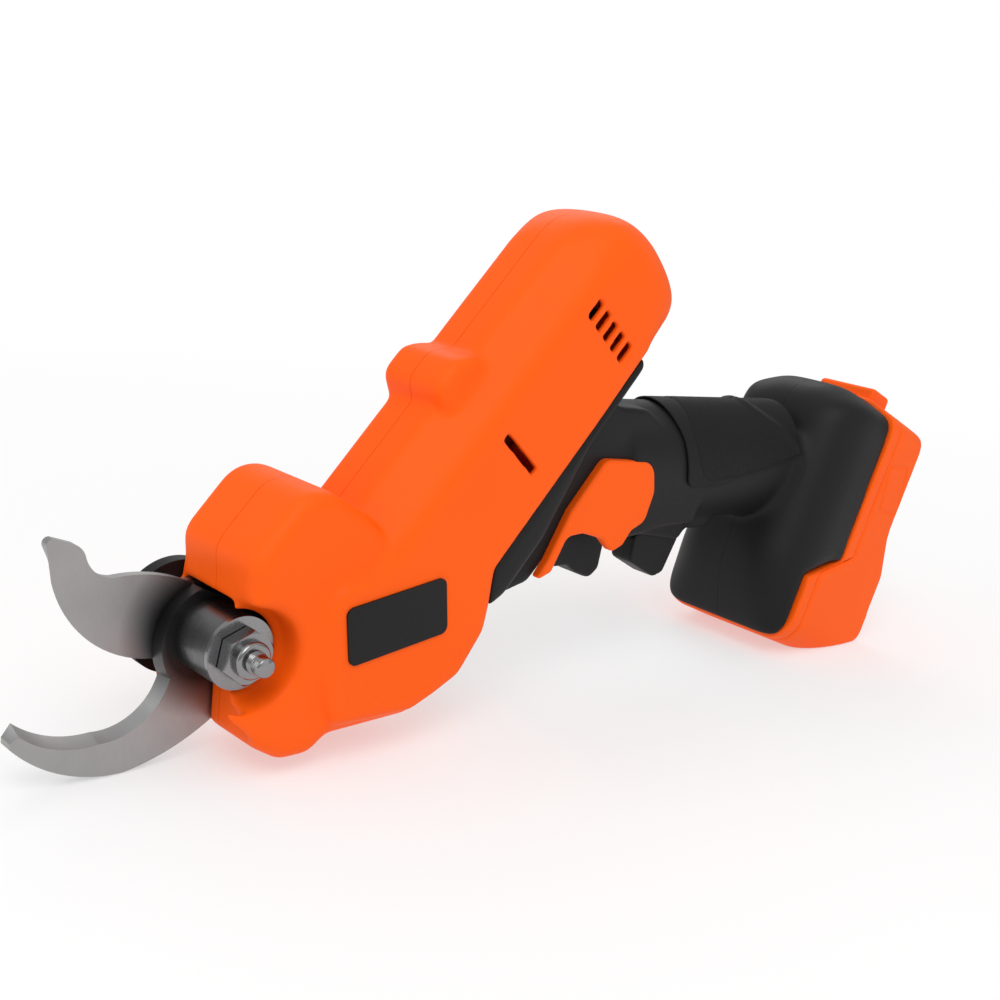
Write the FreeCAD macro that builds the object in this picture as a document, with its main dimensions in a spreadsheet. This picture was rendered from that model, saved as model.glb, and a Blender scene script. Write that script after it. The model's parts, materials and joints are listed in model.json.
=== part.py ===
import FreeCAD
import Part
import Sketcher
import math
import os

# Battery electric pruner.
#
# Row frame: the origin is on the blade pivot axis, halfway along the plain free end of the pivot bolt. -X
# points forward to the blades, +Y is the tool's right side, +Z is up with the tool lying on its own on a bench:
# it rests on the flat lower end of the battery and on the back of the hook blade.
#
# The pieces are drawn in a middle frame, whose origin is on the same axis in the plane where the two housing
# halves meet, and each piece's placement then carries it into the row frame. Two working frames turn about the
# Y axis from the middle frame and share its origin:
#   barrel frame: u runs back along the barrel, w square to it and up
#   foot frame:   u runs back through the battery's thickness, w up along the battery's length

DOC = FreeCAD.newDocument("pruner")
SHEET = DOC.addObject("Spreadsheet::Sheet", "Size")
VECTOR = FreeCAD.Vector
ALONG_Y = VECTOR(0, 1, 0)
ALONG_Z = VECTOR(0, 0, 1)

# Driving dimensions in millimetres and degrees.
DIMENSIONS = {
    # working frames
    "barrel_angle": 48.5,
    "foot_angle": -22.9,
    "bench_level": -45.0,
    "axis_drop": 32.0,
    # pivot stack, along Y
    "bolt_shank_radius": 5.0,
    "thread_radius": 4.0,
    "thread_end": 26.2,
    "stud_end": 30.0,
    "stud_end_radius": 3.5,
    "stud_chamfer": 0.4,
    "nut_across_flats": 17.0,
    "nut_hex_height": 6.0,
    "nut_collar_height": 3.0,
    "washer_radius": 13.0,
    "washer_thickness": 1.6,
    "washer_face": 12.7,
    "hub_radius": 13.0,
    "hook_near_face": 6.5,
    "hook_thickness": 6.5,
    "blade_thickness": 3.5,
    "sector_thickness": 3.4,
    "pivot_gap": 0.05,
    "blade_hub_radius": 17.0,
    "boss_radius": 15.0,
    "cap_radius": 21.0,
    "cap_thickness": 7.0,
    "bolt_head_radius": 8.0,
    "bolt_head_height": 4.5,
    # blade travel and gear train
    "closing_angle": 55.0,
    "sector_teeth": 64,
    "pinion_teeth": 24,
    "spur_module": 1.25,
    "bevel_wheel_teeth": 36,
    "bevel_pinion_teeth": 14,
    "bevel_module": 1.0,
    "bevel_face": 5.5,
    "sun_teeth": 15,
    "planet_teeth": 15,
    "ring_teeth": 45,
    "planet_module": 0.8,
    "gear_backlash": 0.16,
    "bevel_backlash": 0.34,
    "cross_shaft_radius": 4.0,
    # housing
    "wall": 2.6,
    "head_half": 24.5,
    "boss_face": 26.0,
    "lobe_half": 24.4,
    "lobe_top": 25.2,
    "barrel_half": 28.0,
    "barrel_top": -4.4,
    "barrel_crown_half": 12.0,
    "shoulder_drop": 14.6,
    "barrel_floor": -62.0,
    "barrel_end": 219.0,
    "hub_clearance": 17.6,
    "bump_start": 110.0,
    "bump_end": 134.0,
    "bump_top": 3.2,
    # drive line, along the barrel axis
    "bearing_start": 68.0,
    "bearing_length": 8.0,
    "bearing_radius": 11.0,
    "carrier_start": 92.0,
    "carrier_thickness": 5.0,
    "carrier_radius": 16.0,
    "planet_start": 98.0,
    "planet_width": 9.0,
    "gearcase_start": 90.0,
    "gearcase_end": 116.0,
    "gearcase_radius": 21.0,
    "motor_start": 120.0,
    "motor_end": 170.0,
    "motor_radius": 18.0,
    "plate_thickness": 4.0,
    "rotor_radius": 10.0,
    "rotor_shaft_radius": 2.5,
    "fan_start": 177.0,
    "fan_width": 9.0,
    "fan_radius": 17.0,
    # handle and foot
    "handle_half": 19.5,
    "handle_height": 53.0,
    "handle_tilt": -3.5,
    "handle_start": 180.0,
    "handle_end": 294.0,
    "pad_thickness": 1.3,
    "foot_half": 37.5,
    "foot_top_half": 34.0,
    "foot_low": 77.0,
    "foot_high": 199.5,
    "foot_front": 251.0,
    "foot_rear": 292.0,
    "foot_step": 270.0,
    "foot_wall": 3.0,
    # battery
    "battery_low": 75.0,
    "battery_high": 201.0,
    "battery_back": 323.0,
    "battery_heel": 331.0,
    "cell_radius": 9.2,
    "cell_length": 64.8,
    # trigger and lock lever
    "trigger_half": 7.0,
    "lever_half": 6.0,
    "lever_pin_radius": 1.5,
    "lever_pin_x": 227.0,
    "lever_pin_z": 14.3,
    "running_gap": 0.05,
}


def fill_sheet():
    for row, (name, value) in enumerate(DIMENSIONS.items(), start=1):
        SHEET.set("A%d" % row, name)
        SHEET.set("B%d" % row, str(value))
        SHEET.setAlias("B%d" % row, name)
    DOC.recompute()


def size(name):
    """A driving dimension, read back from the sheet."""
    return float(SHEET.get(name))


fill_sheet()

# ---------------------------------------------------------------- frames and outlines


def turned_frame(angle):
    """The placement that carries a working frame, tilted up at the rear by angle, into the row frame."""
    return FreeCAD.Placement(VECTOR(0, 0, 0), FreeCAD.Rotation(ALONG_Y, -angle))


MIDDLE = FreeCAD.Placement()
BARREL = turned_frame(size("barrel_angle"))
FOOT = turned_frame(size("foot_angle"))


def barrel_axis(u):
    """Placement of a part turned on the barrel axis, with its local X along the barrel from station u."""
    base = BARREL.multVec(VECTOR(u, 0, -size("axis_drop")))
    return FreeCAD.Placement(base, BARREL.Rotation)


def cross_axis(x, z):
    """Placement of a part turned on a line along Y through (x, z), with its local X along +Y."""
    return FreeCAD.Placement(VECTOR(x, 0, z), FreeCAD.Rotation(ALONG_Z, 90))


SECTOR_RADIUS = size("sector_teeth") * size("spur_module") / 2
PINION_RADIUS = size("pinion_teeth") * size("spur_module") / 2
SHAFT_U = math.sqrt((SECTOR_RADIUS + PINION_RADIUS) ** 2 - size("axis_drop") ** 2)
SHAFT = BARREL.multVec(VECTOR(SHAFT_U, 0, -size("axis_drop")))
MESH_ANGLE = math.degrees(math.atan2(SHAFT.z, SHAFT.x))


def corner_geometry(before, corner, after):
    """Start, middle and end of the arc that rounds one corner, or None for a sharp corner."""
    x, z, radius = corner
    if radius <= 0:
        return None
    to_before = VECTOR(before[0] - x, before[1] - z, 0).normalize()
    to_after = VECTOR(after[0] - x, after[1] - z, 0).normalize()
    half = to_before.getAngle(to_after) / 2
    reach = radius / math.tan(half)
    centre = VECTOR(x, z, 0) + (to_before + to_after).normalize() * (radius / math.sin(half))
    middle = centre + (VECTOR(x, z, 0) - centre).normalize() * radius
    return VECTOR(x, z, 0) + to_before * reach, middle, VECTOR(x, z, 0) + to_after * reach


def outline_wire(corners, lift):
    """A closed wire through corners (first, second, rounding radius); lift turns the pair into a point."""
    full = [tuple(corner) + (0,) * (3 - len(corner)) for corner in corners]
    arcs = [corner_geometry(full[i - 1], full[i], full[(i + 1) % len(full)]) for i in range(len(full))]
    edges = []
    for i, arc in enumerate(arcs):
        here = arc[2] if arc else VECTOR(full[i][0], full[i][1], 0)
        following = arcs[(i + 1) % len(full)]
        corner = full[(i + 1) % len(full)]
        there = following[0] if following else VECTOR(corner[0], corner[1], 0)
        if arc:
            edges.append(Part.Arc(*[lift(point.x, point.y) for point in arc]).toShape())
        if (there - here).Length > 1e-6:
            edges.append(Part.LineSegment(lift(here.x, here.y), lift(there.x, there.y)).toShape())
    return Part.Wire(edges)


def inset(corners, distance):
    """The outline moved inwards by distance. The corners run anticlockwise."""
    full = [tuple(corner) + (0,) * (3 - len(corner)) for corner in corners]
    lines = []
    for i, (x, z, _) in enumerate(full):
        nx, nz, _ = full[(i + 1) % len(full)]
        length = math.hypot(nx - x, nz - z)
        normal = (-(nz - z) / length, (nx - x) / length)
        lines.append((x + normal[0] * distance, z + normal[1] * distance, nx - x, nz - z))
    moved = []
    for i, (_, _, radius) in enumerate(full):
        ax, az, adx, adz = lines[i - 1]
        bx, bz, bdx, bdz = lines[i]
        cross = adx * bdz - adz * bdx
        along = ((bx - ax) * bdz - (bz - az) * bdx) / cross
        inner = radius - distance if cross > 0 else radius + distance
        moved.append((ax + adx * along, az + adz * along, max(inner, 0) if radius else 0))
    return moved


def prism(corners, axis, start, end):
    """A solid with the given outline, along axis x, y or z from start to end."""
    def lift(a, b):
        if axis == "x":
            return VECTOR(start, a, b)
        if axis == "y":
            return VECTOR(a, start, b)
        return VECTOR(a, b, start)

    ways = {"x": VECTOR(1, 0, 0), "y": ALONG_Y, "z": ALONG_Z}
    face = Part.Face(outline_wire(corners, lift))
    return face.extrude(ways[axis] * (end - start))


def box(x0, x1, y0, y1, z0, z1):
    return Part.makeBox(x1 - x0, y1 - y0, z1 - z0, VECTOR(x0, y0, z0))


def rod(x, z, radius, y0, y1):
    """A round rod along Y."""
    return Part.makeCylinder(radius, y1 - y0, VECTOR(x, y0, z), ALONG_Y)


def rod_u(u0, u1, radius, w):
    """A round rod along the barrel, in the barrel frame."""
    return Part.makeCylinder(radius, u1 - u0, VECTOR(u0, 0, w), VECTOR(1, 0, 0))


def placed(shape, placement):
    copy = shape.copy()
    copy.Placement = placement.multiply(copy.Placement)
    return copy


def largest(shape):
    """The largest solid of a shape, without the slivers that a cut can leave beside it."""
    best = shape.Solids[0]
    for solid in shape.Solids:
        if solid.Volume > best.Volume:
            best = solid
    return best.removeSplitter()


def softened(solid, radius):
    """Round the long edges of a prism along Y, where its outline meets its two flat sides."""
    bounds = solid.BoundBox
    edges = []
    for edge in solid.Edges:
        span = edge.BoundBox
        if span.YLength < 1e-3 and min(abs(span.YMin - bounds.YMin), abs(span.YMax - bounds.YMax)) < 1e-3:
            edges.append(edge)
    return solid.makeFillet(radius, edges)


# ---------------------------------------------------------------- document objects

PIECES = []


def in_row(placement):
    """A placement in the middle frame, carried into the row frame."""
    free_end = size("thread_end") + (size("stud_end") - size("stud_chamfer") - size("thread_end")) / 2
    return FreeCAD.Placement(VECTOR(0, free_end, 0), FreeCAD.Rotation()).multiply(placement)


def feature(label, shape, placement=MIDDLE):
    """A piece shaped with Part functions, for moulded shells, gear teeth and springs."""
    item = DOC.addObject("Part::Feature", label)
    item.Label = label
    item.Shape = shape
    item.Placement = in_row(placement.multiply(item.Placement))
    PIECES.append(item)
    return item


def bound(value):
    """An expression in which every driving dimension is read from the sheet."""
    text = str(value)
    for name in sorted(DIMENSIONS, key=len, reverse=True):
        text = " ".join("Size." + word if word == name else word for word in text.split(" "))
    return text


def bound_sketch(body, plane, points, lifted="0"):
    """A closed sketch whose corners are tied to expressions, on an origin plane lifted along its normal."""
    support = [item for item in body.Origin.OriginFeatures if item.Role == plane][0]
    sketch = body.newObject("Sketcher::SketchObject", body.Name + "_sketch")
    sketch.AttachmentSupport = [(support, "")]
    sketch.MapMode = "FlatFace"
    sketch.setExpression("AttachmentOffset.Base.z", bound(lifted))
    pairs = [(bound(a), bound(b)) for a, b in points]
    corners = [VECTOR(float(sketch.evalExpression(a)), float(sketch.evalExpression(b)), 0) for a, b in pairs]
    count = len(corners)
    for i in range(count):
        sketch.addGeometry(Part.LineSegment(corners[i], corners[(i + 1) % count]), False)
    for i in range(count):
        sketch.addConstraint(Sketcher.Constraint("Coincident", i, 2, (i + 1) % count, 1))
    for i, pair in enumerate(pairs):
        for kind, expression, value in zip(("DistanceX", "DistanceY"), pair, (corners[i].x, corners[i].y)):
            index = sketch.addConstraint(Sketcher.Constraint(kind, -1, 1, i, 1, value))
            sketch.setExpression("Constraints[%d]" % index, expression)
    return sketch


def new_body(label, placement):
    body = DOC.addObject("PartDesign::Body", label)
    body.Label = label
    body.Placement = in_row(placement)
    PIECES.append(body)
    return body


def turned(label, profile, placement):
    """A turned piece: the profile holds (distance along the axis, radius) and spins about local X."""
    body = new_body(label, placement)
    sketch = bound_sketch(body, "XY_Plane", profile)
    spin = body.newObject("PartDesign::Revolution", body.Name + "_turned")
    spin.Profile = sketch
    spin.ReferenceAxis = (sketch, ["H_Axis"])
    spin.Angle = 360
    return body


def ring(start, end, inner, outer):
    """Profile of a plain ring or bush."""
    return [(start, inner), (end, inner), (end, outer), (start, outer)]


def plate(label, points, placement, start, end):
    """A flat piece: the outline lies in local XZ and runs along +Y from start to end."""
    body = new_body(label, placement)
    sketch = bound_sketch(body, "XZ_Plane", points, "-1 * ( %s )" % end)
    pad = body.newObject("PartDesign::Pad", body.Name + "_pad")
    pad.Profile = sketch
    pad.setExpression("Length", bound("( %s ) - ( %s )" % (end, start)))
    return body


def rectangle(x0, x1, z0, z1):
    return [(x0, z0), (x1, z0), (x1, z1), (x0, z1)]


# ---------------------------------------------------------------- gears


def tooth_flank(radius, pitch, teeth, thickness, pressure):
    """Half the angle that one tooth fills at a radius, for involute flanks."""
    base = pitch * math.cos(pressure)
    roll = math.acos(min(1.0, base / max(radius, base)))
    involute = math.tan(roll) - roll
    return thickness / (2 * pitch) + (math.tan(pressure) - pressure) - involute


def gear_wire(teeth, module, backlash, addendum, dedendum, station=0.0):
    """Outline of an involute gear in the local YZ plane, with one tooth centred on +Y."""
    pressure = math.radians(20)
    pitch = teeth * module / 2
    base = pitch * math.cos(pressure)
    root, tip = pitch - dedendum * module, pitch + addendum * module
    thickness = math.pi * module / 2 - backlash
    start = max(root, base) + 1e-6
    radii = [start + (tip - start) * step / 3 for step in range(4)]

    def point(radius, angle):
        return VECTOR(station, radius * math.cos(angle), radius * math.sin(angle))

    half = [tooth_flank(radius, pitch, teeth, thickness, pressure) for radius in radii]
    edges = []
    for i in range(teeth):
        middle = 2 * math.pi * i / teeth
        rising = [point(r, middle - a) for r, a in zip(radii, half)]
        falling = [point(r, middle + a) for r, a in zip(reversed(radii), reversed(half))]
        foot_in = point(root, middle - half[0])
        foot_out = point(root, middle + half[0])
        if root < start - 1e-3:
            edges.append(Part.LineSegment(foot_in, rising[0]).toShape())
        edges.append(interpolated(rising))
        edges.append(Part.Arc(rising[-1], point(tip, middle), falling[0]).toShape())
        edges.append(interpolated(falling))
        if root < start - 1e-3:
            edges.append(Part.LineSegment(falling[-1], foot_out).toShape())
        gap = middle + math.pi / teeth
        last = foot_out if root < start - 1e-3 else falling[-1]
        following = 2 * math.pi * (i + 1) / teeth - half[0]
        edges.append(Part.Arc(last, point(root if last == foot_out else start, gap),
                              point(root if last == foot_out else start, following)).toShape())
    return Part.Wire(edges)


def interpolated(points):
    curve = Part.BSplineCurve()
    curve.interpolate(points)
    return curve.toShape()


def spur_gear(teeth, module, width, bore, backlash, start=0.0):
    """A spur gear along local X."""
    wire = gear_wire(teeth, module, backlash, 0.95, 1.2, station=start)
    solid = Part.Face(wire).extrude(VECTOR(width, 0, 0))
    if bore > 0:
        solid = solid.cut(Part.makeCylinder(bore, width + 2, VECTOR(start - 1, 0, 0), VECTOR(1, 0, 0)))
    return solid


def scaled_wire(wire, factor):
    """The wire scaled about the origin, as cone teeth shrink towards their apex."""
    matrix = FreeCAD.Matrix()
    matrix.scale(factor, factor, factor)
    return wire.transformGeometry(matrix)


def y_gear(shape, x, z, angle):
    """Stand a local-X gear on a cross axis through (x, z), its first tooth at 180 degrees plus angle."""
    turn = FreeCAD.Placement(VECTOR(x, 0, z), FreeCAD.Rotation(ALONG_Y, -angle))
    stand = FreeCAD.Placement(VECTOR(0, 0, 0), FreeCAD.Rotation(ALONG_Z, 90))
    return placed(shape, turn.multiply(stand))


def drive_gears():
    """Sector on the blade, cross shaft with its two gears, and the bevel pinion."""
    gap = size("pivot_gap")
    sector_y = size("hook_near_face") + size("hook_thickness") + size("blade_thickness") + 2 * gap
    thick = size("sector_thickness")
    backlash = size("gear_backlash")
    full = spur_gear(int(size("sector_teeth")), size("spur_module"), thick, 0, backlash, sector_y)
    full = y_gear(full, 0, 0, MESH_ANGLE)
    margin = 9.5
    reach = SECTOR_RADIUS * 1.6
    low = math.radians(MESH_ANGLE - size("closing_angle") - margin)
    high = math.radians(MESH_ANGLE + margin)
    middle = (low + high) / 2
    wedge = [(0, 0)] + [(reach * math.cos(a), reach * math.sin(a)) for a in (low, middle, high)]
    wedge = prism(wedge, "y", sector_y - 1, sector_y + thick + 1)
    hub = rod(0, 0, size("blade_hub_radius"), sector_y, sector_y + thick)
    bore = size("bolt_shank_radius") + gap
    sector = full.common(wedge).fuse(hub).cut(rod(0, 0, bore, sector_y - 1, sector_y + thick + 1))
    for x, z in DOWELS:
        sector = sector.cut(rod(x, z, DOWEL_RADIUS, sector_y - 1, sector_y + thick + 1))
    feature("sector_gear", sector.removeSplitter())

    teeth = int(size("pinion_teeth"))
    pinion = spur_gear(teeth, size("spur_module"), thick, size("cross_shaft_radius"), backlash, sector_y)
    feature("spur_pinion", y_gear(pinion, SHAFT.x, SHAFT.z, MESH_ANGLE + 180 / teeth))


def bevel_sizes():
    module = size("bevel_module")
    wheel = size("bevel_wheel_teeth") * module / 2
    pinion = size("bevel_pinion_teeth") * module / 2
    cone = math.hypot(wheel, pinion)
    return module, wheel, pinion, cone, 1 - size("bevel_face") / cone


def bevel_pinion():
    """Cone teeth with their apex where the barrel axis meets the cross shaft."""
    module, wheel, _, _, shrink = bevel_sizes()
    teeth = int(size("bevel_pinion_teeth"))
    large = gear_wire(teeth, module, size("bevel_backlash"), 0.8, 1.15, station=wheel)
    solid = Part.makeLoft([large, scaled_wire(large, shrink)], True, True)
    solid = solid.cut(rod_u(0, wheel + 1, 3.0, 0))
    at = barrel_axis(SHAFT_U)
    feature("bevel_pinion", placed(solid, at))


def bevel_wheel():
    """A wheel of straight cone teeth on the left of the cross shaft, facing the bevel pinion."""
    module, wheel, pinion, cone, shrink = bevel_sizes()
    teeth = int(size("bevel_wheel_teeth"))
    along = VECTOR(wheel, -pinion, 0) / cone
    out = VECTOR(pinion, wheel, 0) / cone
    half = (math.pi * module / 2 - size("bevel_backlash")) / 2
    slope = math.tan(math.radians(20))
    section = []
    for height in (-1.5 * module, 0.8 * module):
        width = half - height * slope
        for side in ((-1, 1) if height < 0 else (1, -1)):
            section.append(along * cone + out * height + ALONG_Z * (side * width))
    large = Part.makePolygon(section + section[:1])
    tooth = Part.makeLoft([large, scaled_wire(large, shrink)], True, True)
    root = along * cone - out * (1.15 * module)
    bore = size("cross_shaft_radius")
    profile = [root * shrink, root, VECTOR(root.x, -11.5, 0), VECTOR(9, -11.5, 0), VECTOR(9, -17, 0),
               VECTOR(bore, -17, 0), VECTOR(bore, root.y * shrink, 0)]
    body = Part.Face(Part.makePolygon(profile + profile[:1])).revolve(VECTOR(0, 0, 0), ALONG_Y, 360)
    pieces = []
    for i in range(teeth):
        turn = FreeCAD.Rotation(ALONG_Y, -(size("barrel_angle") + (i + 0.5) * 360 / teeth))
        pieces.append(placed(tooth, FreeCAD.Placement(VECTOR(0, 0, 0), turn)))
    solid = body.multiFuse(pieces).removeSplitter()
    feature("bevel_wheel", placed(solid, FreeCAD.Placement(VECTOR(SHAFT.x, 0, SHAFT.z), FreeCAD.Rotation())))


def cross_shaft():
    """The shaft that carries the bevel wheel and the spur pinion, in a bush at each end."""
    at = cross_axis(SHAFT.x, SHAFT.z)
    radius = "cross_shaft_radius"
    turned("cross_shaft", [(-21.5, 0), (24.3, 0), (24.3, radius), (-21.5, radius)], at)
    inner = "cross_shaft_radius + running_gap"
    turned("left_shaft_bush", ring(-21.5, -17.5, inner, 6.5), at)
    turned("right_shaft_bush", ring(20.3, 24.3, inner, 6.5), at)


def planetary():
    """Sun, three planets on a pinned carrier, and the ring gear cut inside the gear case."""
    module = size("planet_module")
    backlash = size("gear_backlash")
    start, width = size("planet_start"), size("planet_width")
    arm = (size("sun_teeth") + size("planet_teeth")) * module / 2
    sun = spur_gear(int(size("sun_teeth")), module, width + 1, size("rotor_shaft_radius"), backlash, start)
    at = barrel_axis(0)
    feature("sun_gear", placed(sun, at))
    pin = 2.0
    planet = spur_gear(int(size("planet_teeth")), module, width, pin + size("running_gap"), backlash, start)
    pins = []
    for i in range(3):
        turn = FreeCAD.Placement(VECTOR(0, 0, 0), FreeCAD.Rotation(VECTOR(1, 0, 0), 120 * i))
        spot = at.multiply(turn).multiply(FreeCAD.Placement(VECTOR(0, arm, 0), FreeCAD.Rotation()))
        feature("planet_gear_%d" % (i + 1), placed(planet, spot))
        pin_end = size("carrier_start") + size("carrier_thickness")
        pin_rod = Part.makeCylinder(pin, start + width + 1 - pin_end, VECTOR(pin_end, 0, 0), VECTOR(1, 0, 0))
        pins.append(placed(pin_rod, spot))
    feature("planet_pins", Part.makeCompound(pins))
    nose = SHAFT_U + bevel_sizes()[1]
    tip = SHAFT_U + bevel_sizes()[1] * bevel_sizes()[4]
    turned("planet_carrier", [
        (tip, 0), ("carrier_start + carrier_thickness", 0),
        ("carrier_start + carrier_thickness", "carrier_radius"), ("carrier_start", "carrier_radius"),
        ("carrier_start", "bolt_shank_radius"), (nose, "bolt_shank_radius"), (nose, 3.0), (tip, 3.0)], at)
    turned("output_bearing", ring("bearing_start", "bearing_start + bearing_length",
                                  "bolt_shank_radius + running_gap", "bearing_radius"), at)
    case_start, case_end = size("gearcase_start"), size("gearcase_end")
    outer = rod_u(case_start, case_end, size("gearcase_radius"), 0)
    clear = rod_u(case_start - 1, start - 0.5, size("carrier_radius") + 2.5, 0)
    spaces = gear_wire(int(size("ring_teeth")), module, -backlash, 1.25, 0.95, station=start - 1)
    teeth = Part.Face(spaces).extrude(VECTOR(width + 4, 0, 0))
    case = outer.cut(clear).cut(teeth).cut(rod_u(case_start - 1, case_end + 1, 9.0, 0))
    feature("ring_gear_case", placed(case, at))


def motor():
    """The motor behind the gear case: can, stator, end plates, rotor, bearings and fan."""
    at = barrel_axis(0)
    shaft = "rotor_shaft_radius"
    turned("motor_can", ring("motor_start", "motor_end", "motor_radius - 1.5", "motor_radius"), at)
    turned("stator_windings", ring("motor_start + 5", "motor_end - 5", "rotor_radius + 0.6",
                                   "motor_radius - 1.5"), at)
    turned("motor_front_plate", [
        ("motor_start - plate_thickness", 5.0), ("motor_start", 5.0), ("motor_start", "motor_radius"),
        ("motor_start - plate_thickness", "motor_radius")], at)
    turned("motor_rear_plate", ring("motor_end", "motor_end + plate_thickness", 5.0, "motor_radius"), at)
    inner = "rotor_shaft_radius + running_gap"
    turned("front_rotor_bearing", ring("motor_start - plate_thickness", "motor_start", inner, 5.0), at)
    turned("rear_rotor_bearing", ring("motor_end", "motor_end + plate_thickness", inner, 5.0), at)
    turned("rotor_shaft", [("planet_start", 0), ("fan_start + fan_width + 2", 0),
                           ("fan_start + fan_width + 2", shaft), ("planet_start", shaft)], at)
    turned("rotor_magnet", ring("motor_start + 4", "motor_end - 4", shaft, "rotor_radius"), at)
    feature("cooling_fan", placed(fan_shape(), at))


def fan_shape():
    """A disc with a hub and curved radial blades."""
    start, width, radius = size("fan_start"), size("fan_width"), size("fan_radius")
    solid = rod_u(start, start + 1.5, radius, 0).fuse(rod_u(start, start + width, 6.0, 0))
    blade = box(start + 1, start + width, 5, radius, -0.6, 0.6)
    count = 9
    for i in range(count):
        turn = FreeCAD.Placement(VECTOR(0, 0, 0), FreeCAD.Rotation(VECTOR(1, 0, 0), 360 * i / count))
        solid = solid.fuse(placed(blade, turn))
    return solid.cut(rod_u(start - 1, start + width + 1, size("rotor_shaft_radius"), 0)).removeSplitter()


# ---------------------------------------------------------------- pivot and blades

DOWELS = [(10.5, -4.5), (4.5, -10.5)]
DOWEL_RADIUS = 1.6
HOOK_SCREWS = [(30.0, -19.0), (42.0, -17.0)]
HOOK_SCREW_RADIUS = 2.5


def hook_wire(level, bevel):
    """The hook's outline at one level; bevel moves the inner edge away from the hook's back."""
    points = {
        "tip_out": VECTOR(-70.2, level, -25.6),
        "tip_in": VECTOR(-67.2, level, -23.8 + bevel),
        "inner_mid": VECTOR(-39.5, level, -32.4 + bevel * 0.8),
        "inner_end": VECTOR(-13.8 - bevel * 0.5, level, -14.0),
        "hub_top": VECTOR(-3.0, level, 16.7),
        "tang_top": VECTOR(20.0, level, 6.0),
        "tang_rear": VECTOR(51.0, level, -8.0),
        "tang_low": VECTOR(51.0, level, -25.0),
        "tang_front": VECTOR(12.0, level, -25.0),
        "back_mid": VECTOR(-30.0, level, -44.7),
    }
    p = points
    inner_a = VECTOR(-55.5, level, -30.6 + bevel)
    inner_b = VECTOR(-24.6, level, -28.6 + bevel * 0.6)
    front = VECTOR(-17.0, level, 1.5)
    back_a = VECTOR(-53.5, level, -39.7)
    back_b = VECTOR(-6.0, level, -37.2)
    tip = VECTOR(-70.2, level, -27.6)
    edges = [
        Part.LineSegment(p["tip_out"], p["tip_in"]).toShape(),
        Part.Arc(p["tip_in"], inner_a, p["inner_mid"]).toShape(),
        Part.Arc(p["inner_mid"], inner_b, p["inner_end"]).toShape(),
        Part.Arc(p["inner_end"], front, p["hub_top"]).toShape(),
        Part.LineSegment(p["hub_top"], p["tang_top"]).toShape(),
        Part.LineSegment(p["tang_top"], p["tang_rear"]).toShape(),
        Part.LineSegment(p["tang_rear"], p["tang_low"]).toShape(),
        Part.LineSegment(p["tang_low"], p["tang_front"]).toShape(),
        Part.Arc(p["tang_front"], back_b, p["back_mid"]).toShape(),
        Part.Arc(p["back_mid"], back_a, tip).toShape(),
        Part.LineSegment(tip, p["tip_out"]).toShape(),
    ]
    return Part.Wire(edges)


def hook_blade():
    """The fixed lower jaw: a hooked steel plate whose inner edge slopes over its whole thickness."""
    near = size("hook_near_face")
    far = near + size("hook_thickness")
    solid = Part.makeLoft([hook_wire(near, 0), hook_wire(far, 2.4)], True, True)
    solid = solid.cut(rod(0, 0, size("bolt_shank_radius") + 0.02, near - 1, far + 1))
    for x, z in HOOK_SCREWS:
        solid = solid.cut(rod(x, z, HOOK_SCREW_RADIUS + 0.02, near - 1, far + 1))
    feature("hook_blade", solid)


def blade_wire(level, bevel):
    """The cutting blade's outline; bevel draws the cutting edge back from its true line."""
    def p(x, z):
        return VECTOR(x, level, z)

    edges = [
        Part.Arc(p(-56.4, 35.6), p(-56.0, 37.6), p(-54.2, 38.4)).toShape(),
        Part.LineSegment(p(-54.2, 38.4), p(-47.2, 35.9)).toShape(),
        Part.Arc(p(-47.2, 35.9), p(-44.2, 33.7), p(-42.6, 30.3)).toShape(),
        Part.Arc(p(-42.6, 30.3), p(-39.0, 25.1), p(-32.4, 22.6)).toShape(),
        Part.Arc(p(-32.4, 22.6), p(-17.0, 21.6), p(-3.0, 16.7)).toShape(),
        Part.Arc(p(-3.0, 16.7), p(12.2, -11.8), p(-11.5, -12.5)).toShape(),
        Part.Arc(p(-11.5, -12.5), p(-15.0, -9.2), p(-19.5, -8.0 + bevel * 0.9)).toShape(),
        Part.Arc(p(-19.5, -8.0 + bevel * 0.9), p(-41.6 + bevel * 0.6, 2.6 + bevel * 0.6),
                 p(-54.6 + bevel, 24.0)).toShape(),
        Part.LineSegment(p(-54.6 + bevel, 24.0), p(-56.4, 35.6)).toShape(),
    ]
    return Part.Wire(edges)


def blade_levels():
    low = size("hook_near_face") + size("hook_thickness") + size("pivot_gap")
    return low, low + size("blade_thickness")


def moving_blade():
    """The curved upper blade, hollow of its spine towards the hub, ground on its right side."""
    low, high = blade_levels()
    solid = Part.makeLoft([blade_wire(low, 0), blade_wire(high, 3.2)], True, True)
    solid = solid.cut(rod(0, 0, size("bolt_shank_radius") + size("pivot_gap"), low - 1, high + 1))
    for x, z in DOWELS:
        solid = solid.cut(rod(x, z, DOWEL_RADIUS, low - 1, high + 1))
    feature("moving_blade", solid)
    top = high + size("pivot_gap") + size("sector_thickness")
    pins = [rod(x, z, DOWEL_RADIUS, low + 0.1, top) for x, z in DOWELS]
    feature("sector_dowels", Part.makeCompound(pins))


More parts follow.
